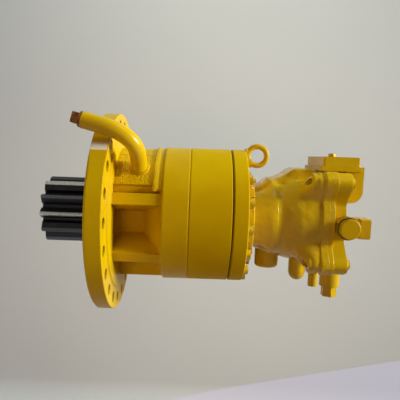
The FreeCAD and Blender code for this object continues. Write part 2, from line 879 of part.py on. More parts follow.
def first_sun():
    phase = sun_phase(first_sun_teeth, first_planet_teeth)
    stem_end = cover_face - motor_pilot_height + 4
    gear = prism(gear_outline(first_sun_teeth, gear_module, phase), first_start - 0.5,
                 first_end + 0.5)
    stem = rod(gear_module * first_sun_teeth / 2 - 7, first_end, stem_end)
    bore = spline(motor_spline_radius, first_end + 8, stem_end, SEATED)
    return join([gear, stem]).cut(bore)


# Hydraulic motor casing

def corner_places():
    return [(side * corner_bolt_y, height) for side in (-1, 1)
            for height in (corner_bolt_high, corner_bolt_low)]


def with_ears(radius, angle, spread, share=1.0):
    """The radius in a direction, raised over each corner boss."""
    for y, z in corner_places():
        turned_by = math.degrees(angle - math.atan2(z, y))
        turned_by = (turned_by + 180.0) % 360.0 - 180.0
        bump = share * math.exp(-(turned_by / spread) ** 4)
        radius += (math.hypot(y, z) + corner_boss_radius - radius) * bump
    return radius


def casing_radius(x, angle):
    """How far the casting reaches from the shaft at a station, in a direction above +Y."""
    neck_end = cover_face + motor_flange_thickness + motor_neck_length
    body = motor_neck_radius
    body += (motor_barrel_radius - motor_neck_radius) * ease(x, neck_end,
                                                             neck_end + motor_neck_flare)
    chest_start = motor_barrel_end + motor_swell_length
    body += (motor_chest_radius - motor_barrel_radius) * ease(x, motor_barrel_end, chest_start)
    waist = (x - motor_barrel_end - motor_valley_half / 2) / motor_valley_half
    body -= motor_valley_depth * math.exp(-waist ** 2)
    height = body - 4
    height += motor_hump_step * ease(x, neck_end + motor_neck_flare, motor_barrel_end + 14)
    height += motor_hump_rise * ease(x, motor_barrel_end + 18, motor_barrel_end + 40)
    height -= motor_hump_drop * ease(x, rim_start - 16, rim_start)
    across = math.cos(angle)
    upward = math.sin(angle)
    if upward > 0.1:
        side = (motor_hump_half + math.copysign(motor_hump_y, across)) / max(abs(across), 0.02)
        hump = smooth_min(height / upward, side, motor_hump_round)
        body = smooth_max(body, hump, 2.5)
    share = ease(x, corner_boss_start - ear_lead, corner_boss_start - ear_lead + ear_rise)
    return with_ears(body, angle, ear_spread, share)


def rim_radius(angle):
    return casing_radius(rim_start, angle) + motor_rim_lip


def motor_casing():
    flange_end = cover_face + motor_flange_thickness
    neck = turned([
        (cover_face - motor_pilot_height, 0),
        (cover_face - motor_pilot_height, motor_pilot_radius), (cover_face, motor_pilot_radius),
        (cover_face, motor_flange_radius - 1), (cover_face + 1, motor_flange_radius),
        (flange_end - 2, motor_flange_radius), (flange_end, motor_flange_radius - 2),
        (flange_end, motor_neck_radius + 6), (flange_end + 2, motor_neck_radius + 2.5),
        (flange_end + 6, motor_neck_radius - 1), (flange_end + 6, 0)])
    flat = block(cover_face, flange_end, -motor_flange_radius, motor_flange_radius,
                 motor_flange_flat, motor_flange_radius + 5)
    neck = cut_all(neck, [face_to(flat, motor_flat_angle), face_to(flat, 180 - motor_flat_angle)])
    sections = []
    for step in range(cast_sections):
        x = flange_end + step * (rim_start - flange_end) / (cast_sections - 1)
        sections.append(cast_wire(x, lambda angle: casing_radius(x, angle)))
    skin = Part.makeLoft(sections, True, False)
    rim = cast_plate(rim_radius, rim_start, motor_seam)
    low_boss = post(low_boss_radius, point(low_boss_x, 0, -60), point(0, 0, -1),
                    low_boss_reach - 60)
    rim_edges = [edge for edge in low_boss.Edges if edge.CenterOfMass.z < -low_boss_reach + 0.1]
    low_boss = low_boss.makeFillet(7, rim_edges)
    gauge_boss = post(gauge_boss_radius, point(gauge_boss_x, 0, -80), point(0, 0, -1),
                      gauge_boss_reach - gauge_boss_radius - 80)
    plug_boss = post(small_plug_radius + 3, point(small_plug_x, small_plug_y, -90),
                     point(0, 0, -1), small_plug_seat() - 90)
    corners = [rod(corner_boss_radius, corner_boss_start, motor_seam, y, z)
               for y, z in corner_places()]
    body = join([neck, skin, rim, low_boss, gauge_boss, plug_boss] + corners)
    seal_seat = motor_bearing_start - 3 - motor_seal_width
    bores = turned([
        (cover_face - motor_pilot_height, 0), (cover_face - motor_pilot_height, 34),
        (seal_seat, 34), (seal_seat, motor_seal_radius),
        (seal_seat + motor_seal_width, motor_seal_radius),
        (seal_seat + motor_seal_width, 30), (motor_bearing_start, 30),
        (motor_bearing_start, motor_bearing_radius + SEATED),
        (cavity_start, motor_bearing_radius + SEATED), (cavity_start, motor_cavity_radius),
        (brake_start, motor_cavity_radius), (brake_start, brake_bore_radius + RUNNING),
        (motor_seam, brake_bore_radius + RUNNING), (motor_seam, 0)])
    grooves = around(rod(5 + SEATED, brake_start, motor_seam, 0, brake_bore_radius), 8, 22.5)
    screws = at_motor_bolts(rod(motor_bolt_radius + BOLT_GAP, cover_face, flange_end, 0,
                                motor_bolt_circle))
    pockets = at_motor_bolts(rod(motor_bolt_head_radius + 1.5, cover_face + motor_bolt_seat,
                                 flange_end + 14, 0, motor_bolt_circle))
    corner_holes = [rod(corner_bolt_radius + BOLT_GAP, corner_boss_start - ear_lead,
                        motor_seam, y, z) for y, z in corner_places()]
    plug_hole = post(small_plug_radius - 3 + SEATED, point(small_plug_x, small_plug_y, -86),
                     point(0, 0, -1), 60)
    gauge_hole = post(9 + SEATED, point(gauge_boss_x, 0, -86), point(0, 0, -1), 120)
    bleed_hole = rod(3.5 + SEATED, flange_end - 12, flange_end, bleed_screw_y, bleed_screw_z)
    return cut_all(body, [bores, plug_hole, gauge_hole, bleed_hole] + grooves + screws + pockets
                   + corner_holes)


def small_plug_seat():
    """How low the small plug's boss reaches under the casing."""
    return 14.0 - corner_bolt_low + 6.0


def motor_flange_bolts():
    seat = cover_face + motor_bolt_seat
    bolt = rod(motor_bolt_radius, cover_face - motor_bolt_grip, seat, 0, motor_bolt_circle)
    head = rod(motor_bolt_head_radius, seat, seat + motor_bolt_head_height, 0,
               motor_bolt_circle)
    socket = hexagon(14, point(seat + 3, 0, motor_bolt_circle), ALONG, 10)
    return group(at_motor_bolts(bolt.fuse(head.cut(socket))))


def gauge_plug():
    """Round-ended plug that closes the boss under the motor."""
    base = -(gauge_boss_reach - gauge_boss_radius)
    dome = Part.makeSphere(gauge_boss_radius - 1, point(gauge_boss_x, 0, base))
    lower = block(gauge_boss_x - 40, gauge_boss_x + 40, -40, 40, base - 60, base)
    stem = post(9, point(gauge_boss_x, 0, base), point(0, 0, 1), 40)
    return dome.common(lower).fuse(stem)


def small_plug():
    base = point(small_plug_x, small_plug_y, -small_plug_seat())
    head = post(small_plug_radius, base, point(0, 0, -1), small_plug_reach - small_plug_seat())
    stem = post(small_plug_radius - 3, base, point(0, 0, 1), 24)
    return head.fuse(stem)


def bleed_screw():
    """Small hexagon screw near the top of the motor's flange."""
    face = cover_face + motor_flange_thickness
    head = hexagon(11, point(face, bleed_screw_y, bleed_screw_z), ALONG, 8)
    return head.fuse(rod(3.5, face - 10, face, bleed_screw_y, bleed_screw_z))


# Rear cover

def rear_cover():
    slab = cast_plate(rim_radius, motor_seam, motor_seam + rear_rim_thickness)
    core = cast_plate(lambda angle: with_ears(rear_core_radius, angle, rear_ear_spread),
                      motor_seam, rear_face - 3)
    spigot = rod(brake_bore_radius - SEATED, motor_seam - rear_spigot, motor_seam)
    corners = [rod(corner_boss_radius, motor_seam, rear_face, y, z)
               for y, z in corner_places()]
    port_block = block(motor_seam, port_block_back, port_block_near, port_block_far,
                       port_block_low, port_face)
    edges = [edge for edge in port_block.Edges
             if abs(edge.CenterOfMass.x - port_block_back) < 0.01
             and abs(edge.CenterOfMass.z - port_block_low) < 0.01]
    port_block = port_block.makeFillet(30, edges)
    overhang = block(port_block_front, port_overhang_back, port_block_near - 6,
                     port_block_far, port_face - port_overhang, port_face)
    parts = [slab, core, spigot, port_block, overhang] + corners
    for side in (-1, 1):
        parts.append(post(relief_seat_radius, point(relief_x, side * 40, relief_z),
                          point(0, side, 0), relief_face - 40))
    parts.append(rod(makeup_boss_radius, motor_seam + 10, makeup_boss_end, makeup_y, makeup_z))
    drain_base = corner_bolt_low - 10.0
    parts.append(post(drain_collar_radius - 3, point(drain_x, 0, -70), point(0, 0, -1),
                      -drain_base - 70))
    body = join(parts)
    bores = turned([
        (motor_seam - rear_spigot, 0), (motor_seam - rear_spigot, rear_bearing_radius + SEATED),
        (rear_bearing_start + rear_bearing_width, rear_bearing_radius + SEATED),
        (rear_bearing_start + rear_bearing_width, rear_journal_radius + 4),
        (rear_bearing_start + rear_bearing_width + 8, rear_journal_radius + 4),
        (rear_bearing_start + rear_bearing_width + 8, 0)])
    holes = [bores]
    for side in (-1, 1):
        kidney = rod(port_bore_radius, motor_seam - rear_spigot, drain_x, side * port_bore_y,
                     port_bore_z)
        rise = post(port_bore_radius, point(drain_x, side * port_bore_y, port_bore_z),
                    point(0, 0, 1), port_face - port_bore_z + 1)
        relief = post(13 + SEATED, point(relief_x, side * (relief_depth - 1), relief_z),
                      point(0, side, 0), 60)
        holes += [kidney, rise, relief]
    holes.append(rod(makeup_stem_radius + SEATED, makeup_boss_end - makeup_stem_length - 2,
                     makeup_boss_end, makeup_y, makeup_z))
    holes.append(post(11 + SEATED, point(drain_x, 0, drain_base), point(0, 0, 1), 26))
    holes += [rod(corner_bolt_radius + BOLT_GAP, motor_seam, rear_face, y, z)
              for y, z in corner_places()]
    holes += [rod(corner_head_radius + 1.5, rear_face, port_block_back, y, z)
              for y, z in corner_places()]
    holes += [post(5 + SEATED, point(x, y, port_face), point(0, 0, -1), 22)
              for x, y in port_bolt_places()]
    return cut_all(body, holes)


def rear_cover_bolts():
    bolts = []
    for y, z in corner_places():
        shank = rod(corner_bolt_radius, motor_seam - corner_boss_length + 14, rear_face, y, z)
        head = rod(corner_head_radius, rear_face, rear_face + 8, y, z)
        socket = hexagon(13, point(rear_face + 3, y, z), ALONG, 10)
        bolts.append(shank.fuse(head.cut(socket)))
    return group(bolts)


def relief_valve(side):
    """Round cap and the cartridge behind it, square to the shaft."""
    face = point(relief_x, side * relief_face, relief_z)
    out = point(0, side, 0)
    cap = post(relief_cap_radius, face, out, relief_cap_height)
    rim = [edge for edge in cap.Edges if edge.Closed
           and abs(abs(edge.CenterOfMass.y) - relief_face - relief_cap_height) < 0.01]
    cap = cap.makeFillet(2.5, rim)
    cartridge = post(13, point(relief_x, side * relief_depth, relief_z), out,
                     relief_face - relief_depth)
    return cap.fuse(cartridge)


def makeup_cap():
    """Square cap with a turned end, and the stem that it screws in with."""
    half = makeup_square / 2
    head = block(makeup_boss_end, makeup_end, makeup_y - half, makeup_y + half,
                 makeup_z - half, makeup_z + half)
    corners = [edge for edge in head.Edges
               if abs(edge.Vertexes[0].X - edge.Vertexes[1].X) > makeup_head_length - 1]
    head = head.makeFillet(4, corners)
    trim = turned([(makeup_boss_end, 0), (makeup_boss_end, half * 1.5),
                   (makeup_end - 2, half * 1.5), (makeup_end, half * 1.28), (makeup_end, 0)])
    trim.translate(point(0, makeup_y, makeup_z))
    stem = rod(makeup_stem_radius, makeup_boss_end - makeup_stem_length, makeup_boss_end,
               makeup_y, makeup_z)
    return head.common(trim).fuse(stem)


def port_bolt_places():
    near = port_block_near + 12
    far = port_block_far - 16
    front = port_block_front + 30
    back = port_overhang_back - 19
    return [(front, near), (front, far), (back, near), (back, far)]


def port_plate():
    plate = block(port_block_front + port_plate_margin, port_overhang_back - port_plate_margin / 2,
                  port_block_near - 6 + port_plate_margin / 2,
                  port_block_far - port_plate_margin / 2, port_face,
                  port_face + port_plate_thickness)
    edges = [edge for edge in plate.Edges
             if abs(edge.Vertexes[0].Z - edge.Vertexes[1].Z) > port_plate_thickness - 1]
    holes = [post(5 + BOLT_GAP, point(x, y, port_face), point(0, 0, 1), port_plate_thickness)
             for x, y in port_bolt_places()]
    top = port_face + port_plate_thickness
    holes += [post(9.5, point(x, y, top - 11), point(0, 0, 1), 12)
              for x, y in port_bolt_places()[1:]]
    return cut_all(plate.makeFillet(4, edges), holes)


def port_bolts():
    """One hexagon bolt that stands proud, and three socket screws sunk in the plate."""
    top = port_face + port_plate_thickness
    places = port_bolt_places()
    bolts = []
    for index, (x, y) in enumerate(places):
        seat = top if index == 0 else top - 11
        shank = post(5, point(x, y, port_face - 20), point(0, 0, 1), seat - port_face + 20)
        if index == 0:
            head = hexagon(17, point(x, y, seat), point(0, 0, 1), 8)
        else:
            head = post(8.5, point(x, y, seat), point(0, 0, 1), 10)
            head = head.cut(hexagon(8, point(x, y, seat + 4), point(0, 0, 1), 10))
        bolts.append(shank.fuse(head))
    return group(bolts)


def drain_plug():
    base = corner_bolt_low - 10.0
    collar = post(drain_collar_radius, point(drain_x, 0, base), point(0, 0, -1),
                  drain_collar_reach + base)
    hexed = hexagon(drain_across_flats, point(drain_x, 0, -drain_collar_reach), point(0, 0, -1),
                    drain_reach - drain_collar_reach)
    stem = post(11, point(drain_x, 0, base), point(0, 0, 1), 22)
    return collar.fuse(hexed).fuse(stem)


# Motor internals

def motor_shaft():
    bearing_end = motor_bearing_start + motor_bearing_width
    rear_end = rear_bearing_start + rear_bearing_width
    spline_end = cover_face - motor_pilot_height + shaft_reach
    bar_radius = motor_shaft_radius - spline_depth - 0.6
    collar_end = bearing_end + shaft_collar_length
    bar = turned([
        (spline_end, 0), (spline_end, shaft_front_radius),
        (motor_bearing_start, shaft_front_radius),
        (motor_bearing_start, motor_journal_radius), (bearing_end, motor_journal_radius),
        (bearing_end, shaft_collar_radius), (collar_end, shaft_collar_radius),
        (collar_end, bar_radius), (valve_plate_end, bar_radius),
        (valve_plate_end, rear_journal_radius), (rear_end + shaft_tail, rear_journal_radius),
        (rear_end + shaft_tail, 0)])
    end = spline(motor_spline_radius, first_end + 10, spline_end)
    drive = spline(motor_shaft_radius, block_start, block_end)
    return join([bar, end, drive])


def swash_plate():
    thick = swash_middle + swash_radius * math.tan(math.radians(swash_angle)) + 1
    blank = ring(swash_radius, 34, cavity_start, cavity_start + thick)
    tool = block(0, 80, -200, 200, -200, 200)
    tool.rotate(ORIGIN, point(0, 1, 0), swash_angle)
    tool.translate(point(cavity_start + swash_middle, 0, 0))
    return blank.cut(tool)


def slipper_plane():
    reach = piston_circle + slipper_radius + 1
    return cavity_start + swash_middle + reach * math.tan(math.radians(swash_angle)) + 1


def cylinder_block():
    body = rod(block_radius, block_start, block_end)
    lug_start = brake_start - lug_lead
    lugs = spline(block_radius + lug_height, lug_start, lug_start + lug_length, 0,
                  spline_teeth, lug_depth)
    bores = [spline(motor_shaft_radius, block_start, block_end, SEATED)]
    floor = block_end - block_floor
    bores += around(rod(piston_radius, block_start, floor, 0, piston_circle), piston_count, 0)
    bores += around(rod(piston_radius - block_port_step, floor - 2, block_end, 0, piston_circle),
                    piston_count, 0)
    return cut_all(join([body, lugs]), bores)


def pistons():
    start = slipper_plane() + ball_height
    ball = Part.makeSphere(ball_radius, point(start, 0, piston_circle), ALONG)
    neck = rod(ball_radius - 2.5, start, start + ball_radius + 3, 0, piston_circle)
    body = rod(piston_radius - RUNNING, start + ball_radius + 1, start + piston_length, 0,
               piston_circle)
    return group(around(ball.fuse(neck).fuse(body), piston_count, 0))


def slippers():
    start = slipper_plane()
    cup_start = start + slipper_thickness
    shoe = rod(slipper_radius, start, cup_start, 0, piston_circle)
    cup = rod(cup_radius, cup_start, cup_start + cup_length, 0, piston_circle)
    socket = Part.makeSphere(ball_radius + ROLLING,
                             point(start + ball_height, 0, piston_circle), ALONG)
    return group(around(shoe.fuse(cup).cut(socket), piston_count, 0))


def slipper_plate():
    start = slipper_plane() + slipper_thickness + AXIAL
    plate = ring(piston_circle + slipper_radius + 2, motor_shaft_radius + 6, start, start + 4)
    holes = around(rod(cup_radius + RUNNING, start, start + 4, 0, piston_circle), piston_count, 0)
    return cut_all(plate, holes)


def slipper_ball():
    """Ball guide on the shaft that presses the slipper plate."""
    start = slipper_plane() + slipper_thickness + AXIAL
    return ring(motor_shaft_radius + 6 - RUNNING, motor_shaft_radius - 3 + RUNNING, start,
                block_start - 1)


def valve_plate():
    plate = ring(block_radius - 2, motor_shaft_radius + 3, valve_plate_start, valve_plate_end)
    slot = sector(piston_circle - 7, piston_circle + 7, valve_plate_start, valve_plate_end,
                  -62, 62)
    return plate.cut(slot).cut(turn(slot, 180))


def brake_stack_place(index):
    """Where the separator with this index starts; a lining follows each but the last."""
    step = separator_thickness + lining_thickness + 2 * AXIAL
    return brake_start + index * step


def separator_plates():
    plates = []
    for index in range(linings + 1):
        start = brake_stack_place(index)
        end = start + separator_thickness
        lugs = around(rod(5, start, end, 0, brake_bore_radius), 8, 22.5)
        inner = block_radius + lug_height + 1.5
        plates.append(join([ring(brake_bore_radius - 0.5, inner, start, end)] + lugs
                           ).cut(rod(inner, start, end)))
    return group(plates)


def lining_plates():
    plates = []
    for index in range(linings):
        start = brake_stack_place(index) + separator_thickness + AXIAL
        end = start + lining_thickness
        bore = spline(block_radius + lug_height, start, end, ROLLING, spline_teeth, lug_depth)
        plates.append(rod(brake_bore_radius - 6, start, end).cut(bore))
    return group(plates)


def brake_piston_start():
    return brake_stack_place(linings) + separator_thickness + AXIAL


def brake_piston():
    start = brake_piston_start()
    end = start + brake_piston_length
    body = ring(brake_bore_radius, block_radius + lug_height + 1.5, start, end)
    groove = ring(brake_bore_radius + 2, brake_bore_radius - 4, start + 8, start + 13)
    return body.cut(groove)


def disc_spring():
    """Coned spring washer that presses the brake piston on the stack."""
    start = brake_piston_start() + brake_piston_length + AXIAL
    end = valve_plate_end - AXIAL
    low = block_radius + lug_height + 2
    high = brake_bore_radius - 1.5
    return turned([(start, low), (end - spring_thickness, high), (end, high),
                   (start + spring_thickness, low)])


# Fittings

def tube_path():
    """The filler's centre line: square out of the oil pocket, then over the flange's rim."""
    over = flange_radius + tube_rim_gap + tube_radius
    foot = polar(tube_foot_x, rib_radius - tube_foot_depth, tube_foot_angle)
    rise = polar(tube_foot_x - 1, rib_radius + tube_rise, tube_foot_angle + 0.4)
    level = polar(tube_level_x, over, tube_level_angle)
    end = polar(tube_end_x, over + tube_end_lift, tube_end_angle)
    return [foot, rise, rise + (rise - foot) * 1.3, level + (level - end) * 0.8, level, end]


def tube_wire():
    foot, rise, corner, over, level, end = tube_path()
    first = Part.LineSegment(foot, rise)
    curve = Part.BezierCurve()
    curve.setPoles([rise, corner, over, level])
    last = Part.LineSegment(level, end)
    return Part.Wire([first.toShape(), curve.toShape(), last.toShape()])


def swept(radius):
    path = tube_wire()
    foot, bend = tube_path()[:2]
    profile = Part.Wire([Part.makeCircle(radius, foot, bend - foot)])
    return path.makePipeShell([profile], True, False)


def fill_tube():
    return swept(tube_radius).cut(swept(tube_radius - tube_wall))


def fill_plug():
    level, end = tube_path()[4:]
    out = end - level
    out.normalize()
    collar = post(tube_radius - 1, end, out, 6)
    stem = post(tube_radius - tube_wall - 0.3, end - out * 16, out, 16)
    square = Part.makeBox(plug_square, plug_square, 17, point(-plug_square / 2,
                                                              -plug_square / 2, 0))
    square.Placement = FreeCAD.Placement(end + out * 6, FreeCAD.Rotation(point(0, 0, 1), out)
                                         ).multiply(square.Placement)
    return join([collar, stem, square])


def eye_bolt():
    loop = Part.makeTorus(eye_radius, eye_wire_radius, ORIGIN, point(0, 1, 0))
    centre = cover_face + eye_radius + eye_wire_radius + 0.5
    loop.translate(point(centre, 0, 0))
    collar = rod(eye_collar_radius, cover_face, cover_face + 6)
    neck = rod(9, cover_face + 4, centre - eye_radius)
    shank = rod(case_bolt_radius, housing_seam - case_bolt_grip, cover_face)
    bolt = join([loop, collar, neck, shank])
    angle = math.radians(case_bolt_angle)
    bolt.translate(point(0, -case_bolt_circle * math.cos(angle),
                         case_bolt_circle * math.sin(angle)))
    return bolt


# The whole part, one file for each piece

lower = (lower_bearing_radius, lower_journal_radius, lower_bearing_start, lower_bearing_end)
upper = (upper_bearing_radius, upper_journal_radius, upper_bearing_start, upper_bearing_end)
front = (motor_bearing_radius, motor_journal_radius, motor_bearing_start,
         motor_bearing_start + motor_bearing_width)
rear = (rear_bearing_radius, rear_journal_radius, rear_bearing_start,
        rear_bearing_start + rear_bearing_width)

pieces = {
    "drive_housing": drive_housing(),
    "ring_gear": ring_gear(),
    "top_cover": top_cover(),
    "cover_bolts": cover_bolts(),
    "dowel_pins": dowel_pins(),
    "pinion_shaft": pinion_shaft(),
    "output_bearing_outers": group([bearing_outer(*lower), bearing_outer(*upper)]),
    "output_bearing_inners": group([bearing_inner(*lower), bearing_inner(*upper)]),
    "lower_rollers": roller_set(*lower, 14),
    "upper_rollers": roller_set(*upper, 12),
    "bearing_spacer": ring(middle_shaft_radius + spacer_wall, middle_shaft_radius + SEATED,
                           lower_bearing_end, upper_bearing_start),
    "shaft_nut": shaft_nut(),
    "seal_retainer": seal_retainer(),
    "retainer_screws": retainer_screw_set(),
    "shaft_seals": group([
        lip_seal(seal_radius, seal_journal_radius, 3 - pilot_height - retainer_thickness,
                 seal_width),
        lip_seal(motor_seal_radius, 20, motor_bearing_start - 3 - motor_seal_width,
                 motor_seal_width)]),
    "second_carrier": second_carrier(),
    "second_pins": pins(second_pin_radius, second_distance, second_plate_start,
                        second_outer_end, 4),
    "second_washers": thrust_washers(second_pin_radius, 30, second_washer, second_distance,
                                     (housing_seam + 0.2, second_end + 0.2)),
    "shaft_end_clamp": group([shaft_end_plate(), shaft_end_bolt()]),
    "second_sun": second_sun(),
    "first_carrier": first_carrier(),
    "first_outer_plate": first_outer_plate(),
    "first_pins": pins(first_pin_radius, first_distance, first_plate_start, first_outer_end, 3),
    "first_washers": thrust_washers(first_pin_radius, 22, first_washer, first_distance,
                                    (first_plate_end + 0.2, first_end + 0.2)),
    "first_sun": first_sun(),
    "motor_casing": motor_casing(),
    "motor_flange_bolts": motor_flange_bolts(),
    "casing_plugs": group([gauge_plug(), small_plug()]),
    "bleed_screw": bleed_screw(),
    "rear_cover": rear_cover(),
    "rear_cover_bolts": rear_cover_bolts(),
    "relief_valves": group([relief_valve(-1), relief_valve(1)]),
    "makeup_cap": makeup_cap(),
    "port_plate": port_plate(),
    "port_bolts": port_bolts(),
    "drain_plug": drain_plug(),
    "motor_shaft": motor_shaft(),
    "motor_bearing_outers": group([bearing_outer(*front), bearing_outer(*rear)]),
    "motor_bearing_inners": group([bearing_inner(*front), bearing_inner(*rear)]),
    "front_rollers": roller_set(*front, 11),
    "rear_rollers": roller_set(*rear, 11),
    "swash_plate": swash_plate(),
    "cylinder_block": cylinder_block(),
    "pistons": pistons(),
    "slippers": slippers(),
    "slipper_retainer": group([slipper_plate(), slipper_ball()]),
    "valve_plate": valve_plate(),
    "separator_plates": separator_plates(),
    "lining_plates": lining_plates(),
    "brake_piston": brake_piston(),
    "disc_spring": disc_spring(),
    "fill_tube": fill_tube(),
    "fill_plug": fill_plug(),
    "eye_bolt": eye_bolt(),
}
for index in range(planets):
    pieces["second_planet_%d" % (index + 1)] = planet_gear(
        index, second_planet_teeth, second_distance, second_pin_radius, second_bush_wall,
        second_start, second_end)
    pieces["first_planet_%d" % (index + 1)] = planet_gear(
        index, first_planet_teeth, first_distance, first_pin_radius, first_bush_wall,
        first_start, first_end)

os.makedirs("parts", exist_ok=True)
for name, shape in pieces.items():
    shape.exportStep("parts/%s.step" % name)
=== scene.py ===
import json
import math

import bmesh
import bpy
import numpy as np
from mathutils import Matrix, Vector


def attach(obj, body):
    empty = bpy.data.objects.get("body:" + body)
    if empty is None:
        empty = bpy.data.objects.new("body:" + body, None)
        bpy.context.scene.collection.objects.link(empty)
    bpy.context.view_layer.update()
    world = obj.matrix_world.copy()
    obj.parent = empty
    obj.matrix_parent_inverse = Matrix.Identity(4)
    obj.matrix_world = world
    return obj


# Lengths are in metres. The origin is the centre of the flange's front face, X runs along the
# shaft to the motor, the near side is -Y, and Z is up.
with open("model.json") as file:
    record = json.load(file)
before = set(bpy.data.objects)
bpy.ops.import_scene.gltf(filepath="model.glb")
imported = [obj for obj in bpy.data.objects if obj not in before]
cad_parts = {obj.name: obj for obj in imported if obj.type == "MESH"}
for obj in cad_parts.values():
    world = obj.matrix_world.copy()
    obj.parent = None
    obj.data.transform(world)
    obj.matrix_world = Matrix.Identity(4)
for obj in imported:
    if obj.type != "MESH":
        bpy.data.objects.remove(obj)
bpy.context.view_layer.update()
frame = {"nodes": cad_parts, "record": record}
bodyOf = {node: body for body, nodes in frame["record"]["behaviour"]["bodies"].items()
          for node in nodes}
slotOf = {row["node"]: row["material_slot"] for row in frame["record"]["subparts"]}
print("frame loaded:", len(frame["nodes"]), "nodes")


# Camera and lamps

camera = {
    "place": (0.2330, -1.1517, 0.1500),
    "yaw": 0.641,              # degrees, towards +X
    "pitch": -5.670,
    "roll": 2.101,
    "lens": 39.51,             # millimetres, on a sensor of the next width
    "sensor": 36.0,
    "nearest": 0.01,
}
lamps = {
    "ceiling": {"place": (0.20, 0.45, 1.90), "aim": (0.25, 0.0, 0.0), "size": (1.6, 0.5),
                "power": 11.0, "colour": (0.89, 1.00, 0.90), "spread": 150.0,
                "mirrored": False},
    "window": {"place": (6.00, -1.10, 1.45), "aim": (0.20, -0.05, 0.0), "size": (2.0, 2.4),
               "power": 30.0, "colour": (0.99, 1.00, 0.96), "spread": 32.0},
    "front": {"place": (-0.15, -2.50, -0.28), "aim": (0.25, 0.0, 0.0), "size": (0.9, 1.2),
              "power": 1.55, "colour": (1.00, 0.68, 0.44), "spread": 60.0,
              "mirrored": False},
    "tube": {"place": (0.80, -0.62, 1.80), "aim": (0.40, 0.0, 0.1), "size": (0.08, 0.30),
             "power": 3.6, "colour": (1.00, 1.00, 1.00), "spread": 180.0},
    "left": {"place": (-2.60, -0.90, 0.50), "aim": (0.0, 0.0, 0.0), "size": (0.8, 0.8),
             "power": 2.0, "colour": (1.00, 0.95, 0.90), "spread": 60.0,
             "mirrored": False},
}


# A heading in the plan, a tilt from level and a turn about the line of sight, as a matrix whose
# columns point right, up and back.
def lookMatrix(yaw, pitch, roll):
    yaw, pitch, roll = (math.radians(value) for value in (yaw, pitch, roll))
    ahead = Vector((math.sin(yaw) * math.cos(pitch), math.cos(yaw) * math.cos(pitch),
                    math.sin(pitch)))
    level = Vector((math.cos(yaw), -math.sin(yaw), 0.0))
    above = level.cross(ahead)
    right = math.cos(roll) * level + math.sin(roll) * above
    up = -math.sin(roll) * level + math.cos(roll) * above
    return Matrix((right, up, -ahead)).transposed()


def placeCamera():
    lens = bpy.data.cameras.new("photoCamera")
    lens.lens = camera["lens"]
    lens.sensor_width = camera["sensor"]
    lens.clip_start = camera["nearest"]
    view = bpy.data.objects.new("photoCamera", lens)
    turn = lookMatrix(camera["yaw"], camera["pitch"], camera["roll"])
    view.matrix_world = Matrix.Translation(camera["place"]) @ turn.to_4x4()
    bpy.context.collection.objects.link(view)
    bpy.context.scene.camera = view


# A rectangular lamp turned so that its own -Z runs from its place to its aim.
def placeLamp(name, place, aim, size, power, colour, spread, mirrored=True):
    light = bpy.data.lights.new(name, "AREA")
    light.shape = "RECTANGLE"
    light.size, light.size_y = size
    light.energy = power
    light.color = colour
    light.spread = math.radians(spread)
    lamp = bpy.data.objects.new(name, light)
    towards = Vector(aim) - Vector(place)
    lamp.matrix_world = (Matrix.Translation(place)
                         @ towards.to_track_quat("-Z", "Y").to_matrix().to_4x4())
    lamp.visible_glossy = mirrored       # whether its own shape shows in gloss and metal
    bpy.context.collection.objects.link(lamp)


placeCamera()
for lampName, lampValues in lamps.items():
    placeLamp(lampName, **lampValues)
print("camera and lamps placed")


# Shader maths

# A socket that takes part in sums: each operator adds a Math node.
class Value:

    def __init__(self, finish, output):
        self.finish = finish
        self.output = output

    def maths(self, operation, first, second):
        return self.finish.maths(operation, first, second)

    def __add__(self, other):
        return self.maths("ADD", self, other)

    def __radd__(self, other):
        return self.maths("ADD", other, self)

    def __sub__(self, other):
        return self.maths("SUBTRACT", self, other)

    def __rsub__(self, other):
        return self.maths("SUBTRACT", other, self)

    def __mul__(self, other):
        return self.maths("MULTIPLY", self, other)

    def __rmul__(self, other):
        return self.maths("MULTIPLY", other, self)

    def __pow__(self, other):
        return self.maths("POWER", self, other)

    def __gt__(self, other):
        return self.maths("GREATER_THAN", self, other)

    def __lt__(self, other):
        return self.maths("LESS_THAN", self, other)


